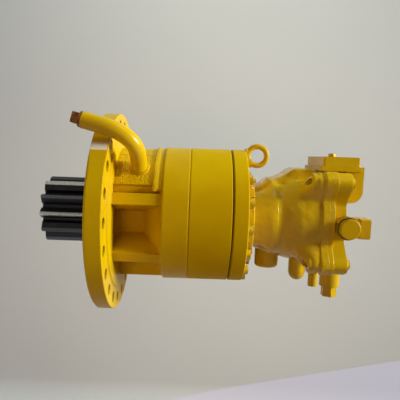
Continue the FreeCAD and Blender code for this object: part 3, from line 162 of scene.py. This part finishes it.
# One material, its shader, and the nodes that feed it.
class Finish:

    socketNames = {
        "baseColour": "Base Color", "roughness": "Roughness", "metallic": "Metallic",
        "normal": "Normal", "coatWeight": "Coat Weight", "coatRoughness": "Coat Roughness",
        "specular": "Specular IOR Level", "glowColour": "Emission Color",
        "glowStrength": "Emission Strength",
    }

    def __init__(self, name):
        self.material = bpy.data.materials.new(name)
        self.material.use_nodes = True
        self.tree = self.material.node_tree
        self.tree.nodes.clear()
        self.shader = self.tree.nodes.new("ShaderNodeBsdfPrincipled")
        self.end = self.tree.nodes.new("ShaderNodeOutputMaterial")
        self.tree.links.new(self.shader.outputs[0], self.end.inputs[0])
        self.place = self.node("ShaderNodeTexCoord", output="Object")

    def node(self, kind, settings=(), inputs=(), output=0):
        made = self.tree.nodes.new(kind)
        for name, value in dict(settings).items():
            setattr(made, name, value)
        for name, value in dict(inputs).items():
            self.feed(made.inputs[name], value)
        return Value(self, made.outputs[output])

    def feed(self, socket, value):
        if isinstance(value, Value):
            self.tree.links.new(value.output, socket)
        else:
            socket.default_value = value

    def set(self, **values):
        for name, value in values.items():
            self.feed(self.shader.inputs[self.socketNames[name]], value)

    def maths(self, operation, first, second=0.0):
        return self.node("ShaderNodeMath", {"operation": operation}, {0: first, 1: second})

    def noise(self, scale, detail=2.0, roughness=0.5, place=None):
        return self.node("ShaderNodeTexNoise", {},
                         {"Vector": place or self.place, "Scale": scale, "Detail": detail,
                          "Roughness": roughness}, "Fac")

    def mix(self, share, first, second):
        return self.node("ShaderNodeMix", {"data_type": "RGBA"}, {0: share, 6: first, 7: second},
                         2)

    # From 0 at low to 1 at high, with level ends.
    def step(self, value, low, high):
        return self.node("ShaderNodeMapRange", {"interpolation_type": "SMOOTHSTEP"},
                         {"Value": value, "From Min": low, "From Max": high})

    # From 1 at low to 0 at high, with level ends.
    def fall(self, value, low, high):
        return 1.0 - self.step(value, low, high)

    # Normals that run round each sharp edge within this radius.
    def edges(self, radius):
        return self.node("ShaderNodeBevel", {"samples": 6}, {"Radius": radius})

    def bump(self, height, strength, distance, normal=None):
        inputs = {"Height": height, "Strength": strength, "Distance": distance}
        if normal:
            inputs["Normal"] = normal
        return self.node("ShaderNodeBump", {}, inputs)

    def axes(self):
        return [self.node("ShaderNodeSeparateXYZ", {}, {"Vector": self.place}, name)
                for name in "XYZ"]

    # The root of y squared plus z squared.
    def distanceFromShaft(self):
        x, y, z = self.axes()
        return (y * y + z * z) ** 0.5


# Yellow machine paint

paint = {
    "colour": (0.650, 0.425, 0.001, 1),
    "thinColour": (0.600, 0.365, 0.001, 1),     # where the coat lies thin over the casting
    "thinScale": 9.0,
    "thinRange": (0.30, 0.72),
    "dustColour": (0.560, 0.380, 0.020, 1),
    "dustScale": 60.0,
    "dustRange": (0.62, 0.80),
    "dustShare": 0.12,
    "orangePeel": 420.0,
    "peelDepth": 0.06,
    "edgeRadius": 0.0022,
    "bumpStrength": 0.55,
    "bumpDepth": 0.0011,
    "waveScale": 62.0,         # the slow swell of a cast wall under its paint
    "waveDepth": 0.0032,
    "wearScale": 35.0,
    "wear": 0.10,              # what wear and what dust add to the roughness
    "dustWear": 0.12,
}
neckMarks = {
    "deepShadeColour": (0.400, 0.200, 0.001, 1),     # painted shade, a darker brown, deep between the ribs
    "deepShadeShare": 0.60,
    "deepRadius": (0.098, 0.140),
    "deepStart": (0.036, 0.050),
    "deepEnd": (0.150, 0.160),
    "lumpScale": 230.0,        # the oil pocket's rough skin
    "lumpDepth": 3.0,
    "lumpRadius": (0.157, 0.162),
    "lumpStart": (0.046, 0.050),
    "lumpEnd": (0.140, 0.144),
    "lumpHeight": (0.070, 0.085),
    "flatWearAndSheenColour": (0.86, 0.80, 0.68, 1),        # the flange's flat: paint rubbed pale, with a painted sheen
    "flatWearAndSheenShare": 0.85,
    "flatLow": (0.1560, 0.1572),
    "flatHigh": (0.1640, 0.1790),
    "flatSide": -0.15,
    "flatEnd": (0.0365, 0.0375),
}
holeShade = {                  # painted shade down in the casing's four corner holes
    "colour": (0.060, 0.036, 0.006, 1),
    "share": 0.92,
    "across": 0.100,           # the holes' places off the shaft
    "upward": 0.0995,
    "radius": 0.0068,
    "blur": 0.0012,
}
grooveShade = {                # painted shade in the groove where the cover meets the ring gear
    "colour": (0.10, 0.055, 0.004, 1),
    "share": 0.9,
    "start": 0.3185,
    "end": 0.3225,
    "radius": (0.1688, 0.1697),
}


# Two yellows mixed by a slow noise, a little dust, orange peel and the casting's grain as bump,
# and round edges in the normals.
def makePaint(name, castDepth=0.0, castScale=160.0, edge=paint["edgeRadius"], roughness=0.30,
              specular=0.10, wave=0.0, marks=None):
    finish = Finish(name)
    thin = finish.step(finish.noise(paint["thinScale"], 3.0), *paint["thinRange"])
    colour = finish.mix(thin, paint["colour"], paint["thinColour"])
    dust = finish.step(finish.noise(paint["dustScale"], 5.0, 0.65), *paint["dustRange"])
    colour = finish.mix(dust * paint["dustShare"], colour, paint["dustColour"])
    grain = finish.noise(castScale, 4.0, 0.6)
    peel = finish.noise(paint["orangePeel"], 1.0)
    height = peel * paint["peelDepth"] + grain * castDepth
    if marks:
        colour, height = marks(finish, colour, height)
    normal = finish.bump(height, paint["bumpStrength"], paint["bumpDepth"], finish.edges(edge))
    if wave:
        normal = finish.bump(finish.noise(paint["waveScale"], 1.0), wave, paint["waveDepth"],
                             normal)
    wear = finish.noise(paint["wearScale"], 3.0) * paint["wear"]
    finish.set(baseColour=colour, roughness=roughness + wear + dust * paint["dustWear"],
               normal=normal, specular=specular)
    return finish.material


# Painted shade in brown inside one radius and between two stations, lumps outside another radius
# on the upper side, and a pale patch of rubbed paint with a painted sheen, bounded by two heights,
# a side and a station.
def markNeck(finish, colour, height):
    x, y, z = finish.axes()
    radius = finish.distanceFromShaft()
    # Painted shade: darker brown deep between the ribs.
    deep = finish.fall(radius, *neckMarks["deepRadius"])
    deep = deep * finish.step(x, *neckMarks["deepStart"]) * finish.fall(x, *neckMarks["deepEnd"])
    colour = finish.mix(deep * neckMarks["deepShadeShare"], colour, neckMarks["deepShadeColour"])
    rough = finish.step(radius, *neckMarks["lumpRadius"])
    rough = rough * finish.step(x, *neckMarks["lumpStart"]) * finish.fall(x, *neckMarks["lumpEnd"])
    rough = rough * finish.step(z, *neckMarks["lumpHeight"])
    lumps = finish.node("ShaderNodeTexVoronoi", {"feature": "SMOOTH_F1"},
                        {"Vector": finish.place, "Scale": neckMarks["lumpScale"]}, "Distance")
    height = height + lumps * rough * neckMarks["lumpDepth"]
    # The flange's flat: paint rubbed pale, with a painted sheen.
    flat = finish.step(z, *neckMarks["flatLow"]) * finish.fall(z, *neckMarks["flatHigh"])
    flat = flat * (y < neckMarks["flatSide"]) * finish.fall(x, *neckMarks["flatEnd"])
    colour = finish.mix(flat * neckMarks["flatWearAndSheenShare"], colour, neckMarks["flatWearAndSheenColour"])
    return colour, height


# Painted shade: dark within a circle about each of the four places plus or minus across,
# plus or minus upward.
def shadeCastingHoles(finish, colour, height):
    x, y, z = finish.axes()
    across = finish.maths("ABSOLUTE", y) - holeShade["across"]
    upward = finish.maths("ABSOLUTE", z) - holeShade["upward"]
    off = (across * across + upward * upward) ** 0.5
    inside = finish.fall(off, holeShade["radius"], holeShade["radius"] + holeShade["blur"])
    return finish.mix(inside * holeShade["share"], colour, holeShade["colour"]), height


# Painted shade: dark between two stations, below the ring's outer radius.
def shadeGroove(finish, colour, height):
    x, y, z = finish.axes()
    low = finish.fall(finish.distanceFromShaft(), *grooveShade["radius"])
    near = (x > grooveShade["start"]) * (x < grooveShade["end"])
    return finish.mix(low * near * grooveShade["share"], colour, grooveShade["colour"]), height


# Steel, bronze, rubber and friction paper

metal = {
    "darkening": 2.2,          # how many times its variation a stain takes off the colour
    "stainRange": (0.35, 0.70),
    "grainScale": 1500.0,
    "bumpStrength": 0.25,
    "bumpDepth": 0.0003,
    "wear": 0.16,
    "coatRoughness": 0.18,
}


# A colour and its darker stain mixed by noise, with fine machining grain as bump.
def makeMetal(name, colour, roughness, variation=0.12, scale=90.0, metallic=1.0, edge=0.0009,
              coat=0.0):
    finish = Finish(name)
    tone = finish.noise(scale, 4.0, 0.6)
    left = 1.0 - metal["darkening"] * variation
    dark = tuple(channel * left for channel in colour[:3]) + (1,)
    base = finish.mix(finish.step(tone, *metal["stainRange"]), colour, dark)
    grain = finish.noise(metal["grainScale"], 2.0)
    normal = finish.bump(grain * 0.5 + tone * 0.4, metal["bumpStrength"], metal["bumpDepth"],
                         finish.edges(edge))
    finish.set(baseColour=base, roughness=roughness + tone * metal["wear"], metallic=metallic,
               normal=normal, coatWeight=coat, coatRoughness=metal["coatRoughness"])
    return finish.material


pinionSteel = {
    "flank": (0.030, 0.028, 0.028, 1),
    "streak": (0.10, 0.095, 0.09, 1),
    "streakRange": (0.52, 0.75),
    "streakShare": 0.35,
    "land": (0.82, 0.93, 0.95, 1),
    "landRadius": 0.0768,      # tooth lands lie outside this distance from the shaft
    "landBlur": 0.0012,
    "highlightTeeth": (-3.0, 62.4, 160.6),     # teeth with a painted highlight on their lands, in degrees above the near side
    "highlightHalf": 12.0,
    "otherShine": 0.12,        # how bright the other lands are, as a share
    "endFace": (0.150, 0.148, 0.144, 1),
    "endShare": 0.8,
    "endPlace": (0.1474, 0.1479),
    "turning": 900.0,
    "roughness": 0.30,
    "metallic": 0.85,
    "edgeRadius": 0.0016,
}


# Blackened flanks, lands outside a radius that are pale steel, with a painted highlight on the
# listed teeth, a grey end face with turning marks in rings, and brown-grey streaks.
def makePinionSteel():
    finish = Finish("pinionSteel")
    x, y, z = finish.axes()
    far = finish.distanceFromShaft()
    scuff = finish.noise(120.0, 5.0, 0.65)
    land = finish.step(far + scuff * 0.0010, pinionSteel["landRadius"],
                       pinionSteel["landRadius"] + pinionSteel["landBlur"])
    angle = finish.maths("ARCTAN2", z, y * -1.0) * (180.0 / math.pi)
    # Painted highlight: the lands of the listed teeth take the pale colour in full, the others only
    # in part.
    landHighlight = pinionSteel["otherShine"]
    for tooth in pinionSteel["highlightTeeth"]:
        off = finish.maths("ABSOLUTE", angle - tooth)
        landHighlight = landHighlight + (off < pinionSteel["highlightHalf"]) * (1.0 - pinionSteel["otherShine"])
    land = land * landHighlight
    colour = finish.mix(land, pinionSteel["flank"], pinionSteel["land"])
    end = finish.step(x * -1.0, *pinionSteel["endPlace"])
    turning = finish.noise(0.6, 1.0, 0.5, finish.node("ShaderNodeCombineXYZ", {},
                                                      {"X": far * pinionSteel["turning"]}))
    colour = finish.mix(end * pinionSteel["endShare"], colour, pinionSteel["endFace"])
    streak = finish.step(finish.noise(40.0, 6.0, 0.7), *pinionSteel["streakRange"])
    colour = finish.mix(streak * (1.0 - land) * pinionSteel["streakShare"], colour,
                        pinionSteel["streak"])
    roughness = pinionSteel["roughness"] + scuff * 0.22 - land * 0.12
    normal = finish.bump(scuff * 0.5 + turning * end, 0.30, 0.0003,
                         finish.edges(pinionSteel["edgeRadius"]))
    finish.set(baseColour=colour, roughness=roughness,
               metallic=pinionSteel["metallic"] - land * 0.50, normal=normal, coatWeight=0.25,
               coatRoughness=0.16)
    return finish.material


plugStain = {
    "colour": (0.36, 0.135, 0.012, 1),
    "oily": (0.105, 0.042, 0.010, 1),
    "stainScale": 110.0,
    "stainRange": (0.40, 0.66),
    "pitScale": 420.0,
    "edgeRadius": 0.0016,
}


# Orange-brown, mixed by noise with darker oily hollows, and pitted.
def makePlugStain():
    finish = Finish("plugStain")
    stain = finish.step(finish.noise(plugStain["stainScale"], 5.0, 0.7),
                        *plugStain["stainRange"])
    colour = finish.mix(stain, plugStain["colour"], plugStain["oily"])
    pit = finish.noise(plugStain["pitScale"], 4.0, 0.7)
    normal = finish.bump(pit, 0.5, 0.0006, finish.edges(plugStain["edgeRadius"]))
    finish.set(baseColour=colour, roughness=0.42 + stain * 0.25, metallic=0.25, normal=normal,
               coatWeight=0.2, coatRoughness=0.3)
    return finish.material


matt = {"lightening": 1.6, "lightRange": (0.45, 0.70), "wear": 0.15, "edgeRadius": 0.0008}


# A dark colour and a lighter one mixed by fine grain.
def makeMatt(name, colour, roughness=0.7, scale=300.0):
    finish = Finish(name)
    grain = finish.noise(scale, 4.0, 0.6)
    light = tuple(channel * matt["lightening"] for channel in colour[:3]) + (1,)
    base = finish.mix(finish.step(grain, *matt["lightRange"]), colour, light)
    finish.set(baseColour=base, roughness=roughness + grain * matt["wear"],
               normal=finish.bump(grain, 0.3, 0.0003, finish.edges(matt["edgeRadius"])))
    return finish.material


finishes = {
    "machinedPaint": makePaint("machinedPaint", castDepth=0.05, roughness=0.42, specular=0.02,
                               marks=shadeGroove),
    "castPaint": makePaint("castPaint", castDepth=0.16, castScale=95.0, edge=0.0024,
                           roughness=0.09, specular=0.22, wave=0.55, marks=shadeCastingHoles),
    "coverPaint": makePaint("coverPaint", castDepth=0.45, castScale=240.0, edge=0.0022,
                            roughness=0.26, specular=0.16),
    "neckPaint": makePaint("neckPaint", castDepth=0.22, castScale=120.0, edge=0.0040,
                           roughness=0.32, specular=0.10, marks=markNeck),
    "fittingPaint": makePaint("fittingPaint", castDepth=0.12, castScale=260.0, edge=0.0014,
                              roughness=0.20, specular=0.25),
    "pinionSteel": makePinionSteel(),
    "plugStain": makePlugStain(),
    "bearingSteel": makeMetal("bearingSteel", (0.62, 0.63, 0.64, 1), 0.14, 0.04),
    "gearSteel": makeMetal("gearSteel", (0.40, 0.40, 0.41, 1), 0.28, 0.10),
    "turnedSteel": makeMetal("turnedSteel", (0.48, 0.48, 0.47, 1), 0.32, 0.10),
    "carrierIron": makeMetal("carrierIron", (0.20, 0.20, 0.205, 1), 0.48, 0.14, 60.0, 0.8),
    "sealSteel": makeMetal("sealSteel", (0.09, 0.088, 0.085, 1), 0.42, 0.15, 70.0, 0.8,
                           coat=0.3),
    "bronze": makeMetal("bronze", (0.56, 0.38, 0.17, 1), 0.30, 0.12),
    "sealRubber": makeMatt("sealRubber", (0.018, 0.018, 0.018, 1), 0.6),
    "liningPaper": makeMatt("liningPaper", (0.075, 0.055, 0.038, 1), 0.8, 700.0),
}
finishOf = {                   # nodes whose finish isn't their slot's usual one
    "drive_housing": "neckPaint", "motor_casing": "castPaint", "rear_cover": "coverPaint",
    "ring_gear": "machinedPaint", "top_cover": "machinedPaint", "fill_plug": "plugStain",
    "relief_valves": "coverPaint",
    "pinion_shaft": "pinionSteel", "seal_retainer": "sealSteel", "retainer_screws": "sealSteel",
}
finishOfSlot = {
    "yellow_paint": "fittingPaint", "yellow_fasteners": "fittingPaint",
    "oiled_steel": "sealSteel", "bearing_steel": "bearingSteel", "gear_steel": "gearSteel",
    "machined_steel": "turnedSteel", "carrier_iron": "carrierIron",
    "seal_rubber": "sealRubber", "bronze": "bronze", "friction_lining": "liningPaper",
    "plug_brown": "plugStain",
}


def dress(thing, node):
    material = finishes[finishOf.get(node, finishOfSlot[slotOf[node]])]
    thing.data.materials.clear()
    thing.data.materials.append(material)


for nodeName, nodeObject in frame["nodes"].items():
    dress(nodeObject, nodeName)
print("finishes:", len(finishes))


# Surfaces

# A mesh from an array of rows by columns of points, each cell one face.
def gridObject(name, points, closed=False):
    rows, columns = points.shape[:2]
    index = np.arange(rows * columns).reshape(rows, columns)
    if closed:
        index = np.concatenate([index, index[:, :1]], axis=1)
    quads = np.stack([index[:-1, :-1], index[:-1, 1:], index[1:, 1:], index[1:, :-1]],
                     axis=-1).reshape(-1, 4)
    mesh = bpy.data.meshes.new(name)
    mesh.from_pydata(points.reshape(-1, 3).tolist(), [], quads.tolist())
    mesh.shade_smooth()
    made = bpy.data.objects.new(name, mesh)
    bpy.context.collection.objects.link(made)
    return made


# From 0 at low to 1 at high, as three times the share squared less twice its cube.
def ease(value, low, high):
    share = np.clip((value - low) / (high - low), 0.0, 1.0)
    return share * share * (3.0 - 2.0 * share)


# A closed piece from rows by columns of points whose columns wrap round. Its rows wrap round
# too, or else its first and last row are each one point.
def addPiece(name, points, body, finish, wrapped=True):
    rows = np.concatenate([points, points[:1]], axis=0) if wrapped else points
    piece = gridObject(name, rows, closed=True)
    shape = bmesh.new()
    shape.from_mesh(piece.data)
    bmesh.ops.remove_doubles(shape, verts=shape.verts, dist=1e-6)
    bmesh.ops.dissolve_degenerate(shape, edges=shape.edges, dist=1e-7)
    bmesh.ops.recalc_face_normals(shape, faces=shape.faces)
    shape.to_mesh(piece.data)
    shape.free()
    piece.data.shade_smooth()
    piece.data.materials.append(finishes[finish])
    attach(piece, body)
    return piece


# A round bar carried round a circle: the centre plus the radius along first and second. Its
# section's circle reaches along that radius and the axis, swollen by a sine ripple, and the
# whole path sinks along the axis by saddle times the square of its second coordinate.
def ring(centre, first, second, axis, radius, thick, steps=72, sides=14, ripple=0.0, ripples=0,
         saddle=0.0):
    centre, first, second, axis = (np.array(v, float) for v in (centre, first, second, axis))
    turn = np.linspace(0.0, 2 * math.pi, steps, endpoint=False)[:, None, None]
    side = np.linspace(0.0, 2 * math.pi, sides, endpoint=False)[None, :, None]
    out = np.cos(turn) * first + np.sin(turn) * second
    swell = thick * (1.0 + ripple * np.sin(turn * ripples))
    sunk = saddle * (radius * np.sin(turn)) ** 2
    return centre + out * (radius + swell * np.cos(side)) + axis * (swell * np.sin(side) - sunk)


# The motor's barrel

barrel = {
    "start": 0.3750,           # inside the motor's flange
    "end": 0.4360,
    "foot": 0.1010,            # the radius beside the flange
    "neck": 0.0820,            # the casing's own radii, before and after its flare
    "body": 0.1040,
    "flareStart": 0.3860,
    "flareEnd": 0.4280,
    "lowAngle": 34.0,          # full up to this height above or below the shaft, gone at the next
    "highAngle": 60.0,
    "under": 0.0008,           # how far under the casing its outer side lies where it isn't full
    "proud": 0.0010,           # what the full side adds to that
    "sink": 0.0012,            # how far its end dips, over the last run and this much before
    "sinkRun": 0.004,
    "inside": 0.0022,          # how far under the casing its inner side lies
    "turns": 180,
    "stations": 34,
}


# The fuller sides of the casing's front. Its radius at a station and angle is the casing's own,
# plus a gap that fades along the shaft and towards top and bottom.
def makeBarrelSkin():
    angle = np.linspace(0.0, 2 * math.pi, barrel["turns"], endpoint=False)[:, None]
    x = np.linspace(barrel["start"], barrel["end"], barrel["stations"])[None, :]
    own = barrel["neck"] + (barrel["body"] - barrel["neck"]) * ease(x, barrel["flareStart"],
                                                                     barrel["flareEnd"])
    full = barrel["foot"] + (barrel["body"] - barrel["foot"]) * ease(x, barrel["start"],
                                                                      barrel["flareEnd"])
    height = np.degrees(np.arcsin(np.abs(np.sin(angle))))
    side = 1.0 - ease(height, barrel["lowAngle"], barrel["highAngle"])
    outer = own - barrel["under"] + (full - own + barrel["proud"]) * side
    outer = outer - barrel["sink"] * ease(x, barrel["flareEnd"] - barrel["sinkRun"],
                                          barrel["end"])
    inner = own - barrel["inside"] + 0.0 * angle
    radius = np.concatenate([outer, inner[:, ::-1]], axis=1)
    along = np.concatenate([x, x[:, ::-1]], axis=1) + 0.0 * angle
    points = np.stack([along, radius * np.cos(angle), radius * np.sin(angle)], axis=-1)
    return addPiece("barrelSkin", points, bodyOf["motor_casing"], "castPaint")


# Cast corners of the neck

valley = {                     # from the oil pocket's lip to the ring section
    "start": 0.1424, "end": 0.1560, "low": 25.0, "high": 117.5, "root": 0.0930,
    "floor": 0.1662, "rise": 0.0018, "middle": 0.1487, "half": 0.0055,
    "drop": 0.004, "dropStart": 0.1540,
}
pocketFoot = {                 # between the pocket's lower wall and the rib
    "start": 0.0432, "end": 0.1550, "low": 21.0, "high": 29.6, "root": 0.0930,
    "rib": 0.1490, "rise": 0.0110, "riseLow": 22.0, "riseHigh": 29.0,
}
recess = {                     # the cast hollow beside the flange
    "start": 0.0428, "end": 0.0622, "low": 33.6, "high": 54.4, "root": 0.1400,
    "skin": 0.1651, "dish": 0.0120, "along": (0.0490, 0.0615),
    "up": (34.0, 40.0), "down": (47.0, 54.0),
}


# A parabola across the valley, lowest in the middle, that drops away at its end.
def valleyRadius(x, angle):
    off = (x - valley["middle"]) / valley["half"]
    drop = ease(x, valley["dropStart"], valley["end"])
    return valley["floor"] + valley["rise"] * off ** 2 - valley["drop"] * drop


# Rises from the rib towards the pocket's wall.
def footRadius(x, angle):
    return pocketFoot["rib"] + pocketFoot["rise"] * ease(angle, pocketFoot["riseLow"],
                                                         pocketFoot["riseHigh"])


# The pocket's own radius, less a soft dish that is deepest beside the flange.
def recessRadius(x, angle):
    dish = (1.0 - ease(x, *recess["along"])) * ease(angle, *recess["up"])
    return recess["skin"] - recess["dish"] * dish * (1.0 - ease(angle, *recess["down"]))


# A filling between two stations and two angles above the near side: its outer side is the
# radius function, its inner side a plain cylinder, and its ends are points.
def makeSector(name, place, radiusAt, stations=22, turns=90):
    x = np.linspace(place["start"], place["end"], stations)[None, :]
    angle = np.linspace(place["low"], place["high"], turns)[:, None]
    outer = radiusAt(x, angle) + 0.0 * (x + angle)
    radius = np.concatenate([outer, np.full(outer.shape, place["root"])], axis=1)
    along = np.concatenate([x, x[:, ::-1]], axis=1) + 0.0 * angle
    turned = np.radians(angle)
    points = np.stack([along, -radius * np.cos(turned), radius * np.sin(turned)], axis=-1)
    ends = [np.repeat(row.mean(axis=0, keepdims=True), row.shape[0], axis=0)[None]
            for row in (points[0], points[-1])]
    points = np.concatenate([ends[0], points, ends[1]], axis=0)
    return addPiece(name, points, bodyOf["drive_housing"], "neckPaint",
                    wrapped=False)


# Weld, and dark rings of painted shade at the relief caps

weld = {
    "x": 0.100,
    "angle": 46.0,             # degrees above the near side
    "surface": 0.1652,         # the pocket's own radius
    "radius": 0.0203,
    "thick": 0.0034,
    "ripple": 0.10,
    "ripples": 46,
    "steps": 184,
    "sides": 14,
}


# The weld round the filler's foot, a rippled ring that sinks with the pocket's curve: by the
# square of its reach over twice the pocket's radius.
def makeWeldBead():
    angle = math.radians(weld["angle"])
    outward = np.array([0.0, -math.cos(angle), math.sin(angle)])
    along = np.array([0.0, math.sin(angle), math.cos(angle)])
    points = ring(outward * weld["surface"] + [weld["x"], 0.0, 0.0], (1.0, 0.0, 0.0), along,
                  outward, weld["radius"], weld["thick"], weld["steps"], weld["sides"],
                  weld["ripple"], weld["ripples"], 0.5 / weld["surface"])
    return addPiece("weldBead", points, bodyOf["fill_tube"], "neckPaint")


reliefSeat = {"x": 0.603, "z": -0.010, "face": 0.1146, "radius": 0.0254, "thick": 0.0016}


# A black ring under each relief cap's edge, a dark piece that stands in for the shade at its seat.
def makeReliefShadeRings():
    for name, sign in (("reliefShadeRingNear", -1.0), ("reliefShadeRingFar", 1.0)):
        centre = (reliefSeat["x"], sign * reliefSeat["face"], reliefSeat["z"])
        points = ring(centre, (1.0, 0.0, 0.0), (0.0, 0.0, 1.0), (0.0, 1.0, 0.0),
                      reliefSeat["radius"], reliefSeat["thick"])
        addPiece(name, points, bodyOf["relief_valves"], "sealRubber")


makeBarrelSkin()
makeSector("valleyFillet", valley, valleyRadius)
makeSector("pocketRoot", pocketFoot, footRadius)
makeSector("recessFillet", recess, recessRadius)
makeWeldBead()
makeReliefShadeRings()
print("casting skins, weld and seals made")


# Backdrop and world

studio = {
    "floorHeight": -1.10,
    "floorReach": -5.0,        # how far towards the near side the floor runs
    "wallPlace": 0.95,         # how far behind the drive's axis the wall stands
    "wallHeight": 4.0,
    "coveRadius": 0.12,
    "coveSteps": 24,
    "width": 9.0,
    "wallColour": (0.78, 0.78, 0.755, 1),
    "cloudScale": 0.7,         # soft patches on the wall, darker by this much
    "cloudRange": (0.35, 0.70),
    "cloudShare": 0.25,
    "cloudDark": 0.88,
    "floorColour": (0.46, 0.36, 0.26, 1),
    "floorEdge": -1.042,       # the height at which the wall turns to the floor's tone
    "floorEdgeX": 0.23,        # where that height is measured, and how it slopes
    "floorSlope": 0.20,
    "floorBlur": 0.006,
    "floorFoot": (0.002, 0.020),    # the floor itself, below these heights, keeps its own tone
    "glowLeft": (0.035, 0.040, 0.055, 1),       # what the lens adds to the wall, at its left
    "glowRight": (0.150, 0.160, 0.160, 1),
    "glowAcross": (-0.75, 0.9),
    "glowHigh": (0.150, 0.155, 0.165, 1),
    "glowRise": (0.2, 1.0),
    "glowHighShare": 0.6,
    "glowFloor": (0.335, 0.360, 0.455, 1),
}
surround = {
    "light": (0.0100, 0.0097, 0.0092, 0.01),
    "mirrored": (0.30, 0.30, 0.29, 1),          # what metal and paint mirror
    "seen": (0.48, 0.48, 0.465, 1),             # what the lens sees past the backdrop's edge
}


# Floor, quarter circle and wall, carried sideways. The lens and gloss see a little light added
# to its colours, which doesn't fall on the drive, and from behind the wall hides nothing.
def makeBackdrop():
    floor, wall, bend = studio["floorHeight"], studio["wallPlace"], studio["coveRadius"]
    arc = np.linspace(0.0, math.pi / 2, studio["coveSteps"])
    run = np.concatenate([[studio["floorReach"]], wall - bend + bend * np.sin(arc), [wall]])
    rise = np.concatenate([[floor], floor + bend - bend * np.cos(arc), [studio["wallHeight"]]])
    sideways = np.linspace(-studio["width"] / 2, studio["width"] / 2, 3)
    points = np.zeros((len(run), len(sideways), 3))
    points[..., 0] = sideways[None, :]
    points[..., 1] = run[:, None]
    points[..., 2] = rise[:, None]
    backdrop = gridObject("backdrop", points)
    finish = Finish("backdropPaint")
    x, y, z = finish.axes()
    edge = z - (x - studio["floorEdgeX"]) * studio["floorSlope"]
    high = finish.step(edge, studio["floorEdge"] - studio["floorBlur"],
                       studio["floorEdge"] + studio["floorBlur"])
    high = high * finish.step(z, *(floor + lift for lift in studio["floorFoot"]))
    cloud = finish.step(finish.noise(studio["cloudScale"], 2.0), *studio["cloudRange"])
    darker = tuple(c * studio["cloudDark"] for c in studio["wallColour"][:3]) + (1,)
    wallTone = finish.mix(cloud * studio["cloudShare"], studio["wallColour"], darker)
    glow = finish.mix(finish.step(x, *studio["glowAcross"]), studio["glowLeft"],
                      studio["glowRight"])
    glow = finish.mix(finish.step(z, *studio["glowRise"]) * studio["glowHighShare"], glow,
                      studio["glowHigh"])
    glow = finish.mix(high, studio["glowFloor"], glow)
    toLens, toGloss, through = (
        finish.node("ShaderNodeLightPath", output=ray)
        for ray in ("Is Camera Ray", "Is Glossy Ray", "Is Transmission Ray"))
    glow = finish.mix(toLens + toGloss + through, (0, 0, 0, 1), glow)
    finish.set(baseColour=finish.mix(high, studio["floorColour"], wallTone), roughness=0.85,
               specular=0.2, glowColour=glow, glowStrength=1.0)
    behind = finish.node("ShaderNodeNewGeometry", output="Backfacing")
    clear = finish.tree.nodes.new("ShaderNodeBsdfTransparent")
    blend = finish.tree.nodes.new("ShaderNodeMixShader")
    finish.feed(blend.inputs[0], behind)
    finish.tree.links.new(finish.shader.outputs[0], blend.inputs[1])
    finish.tree.links.new(clear.outputs[0], blend.inputs[2])
    finish.tree.links.new(blend.outputs[0], finish.end.inputs[0])
    backdrop.data.materials.append(finish.material)


# A faint light all round, replaced by a paler tone where gloss or the lens looks past the wall.
def makeSurround():
    world = bpy.data.worlds.new("studioWorld")
    world.use_nodes = True
    tree = world.node_tree
    sky = tree.nodes["Background"]
    paths = tree.nodes.new("ShaderNodeLightPath")
    last = None
    for ray, tone in (("Is Glossy Ray", surround["mirrored"]), ("Is Camera Ray", surround["seen"])):
        tones = tree.nodes.new("ShaderNodeMix")
        tones.data_type = "RGBA"
        tones.inputs[7].default_value = tone
        tree.links.new(paths.outputs[ray], tones.inputs[0])
        if last:
            tree.links.new(last, tones.inputs[6])
        else:
            tones.inputs[6].default_value = surround["light"]
        last = tones.outputs[2]
    tree.links.new(last, sky.inputs["Color"])
    sky.inputs["Strength"].default_value = 1.0
    bpy.context.scene.world = world


makeBackdrop()
makeSurround()
bpy.context.scene.view_settings.view_transform = "Standard"
print("backdrop made")
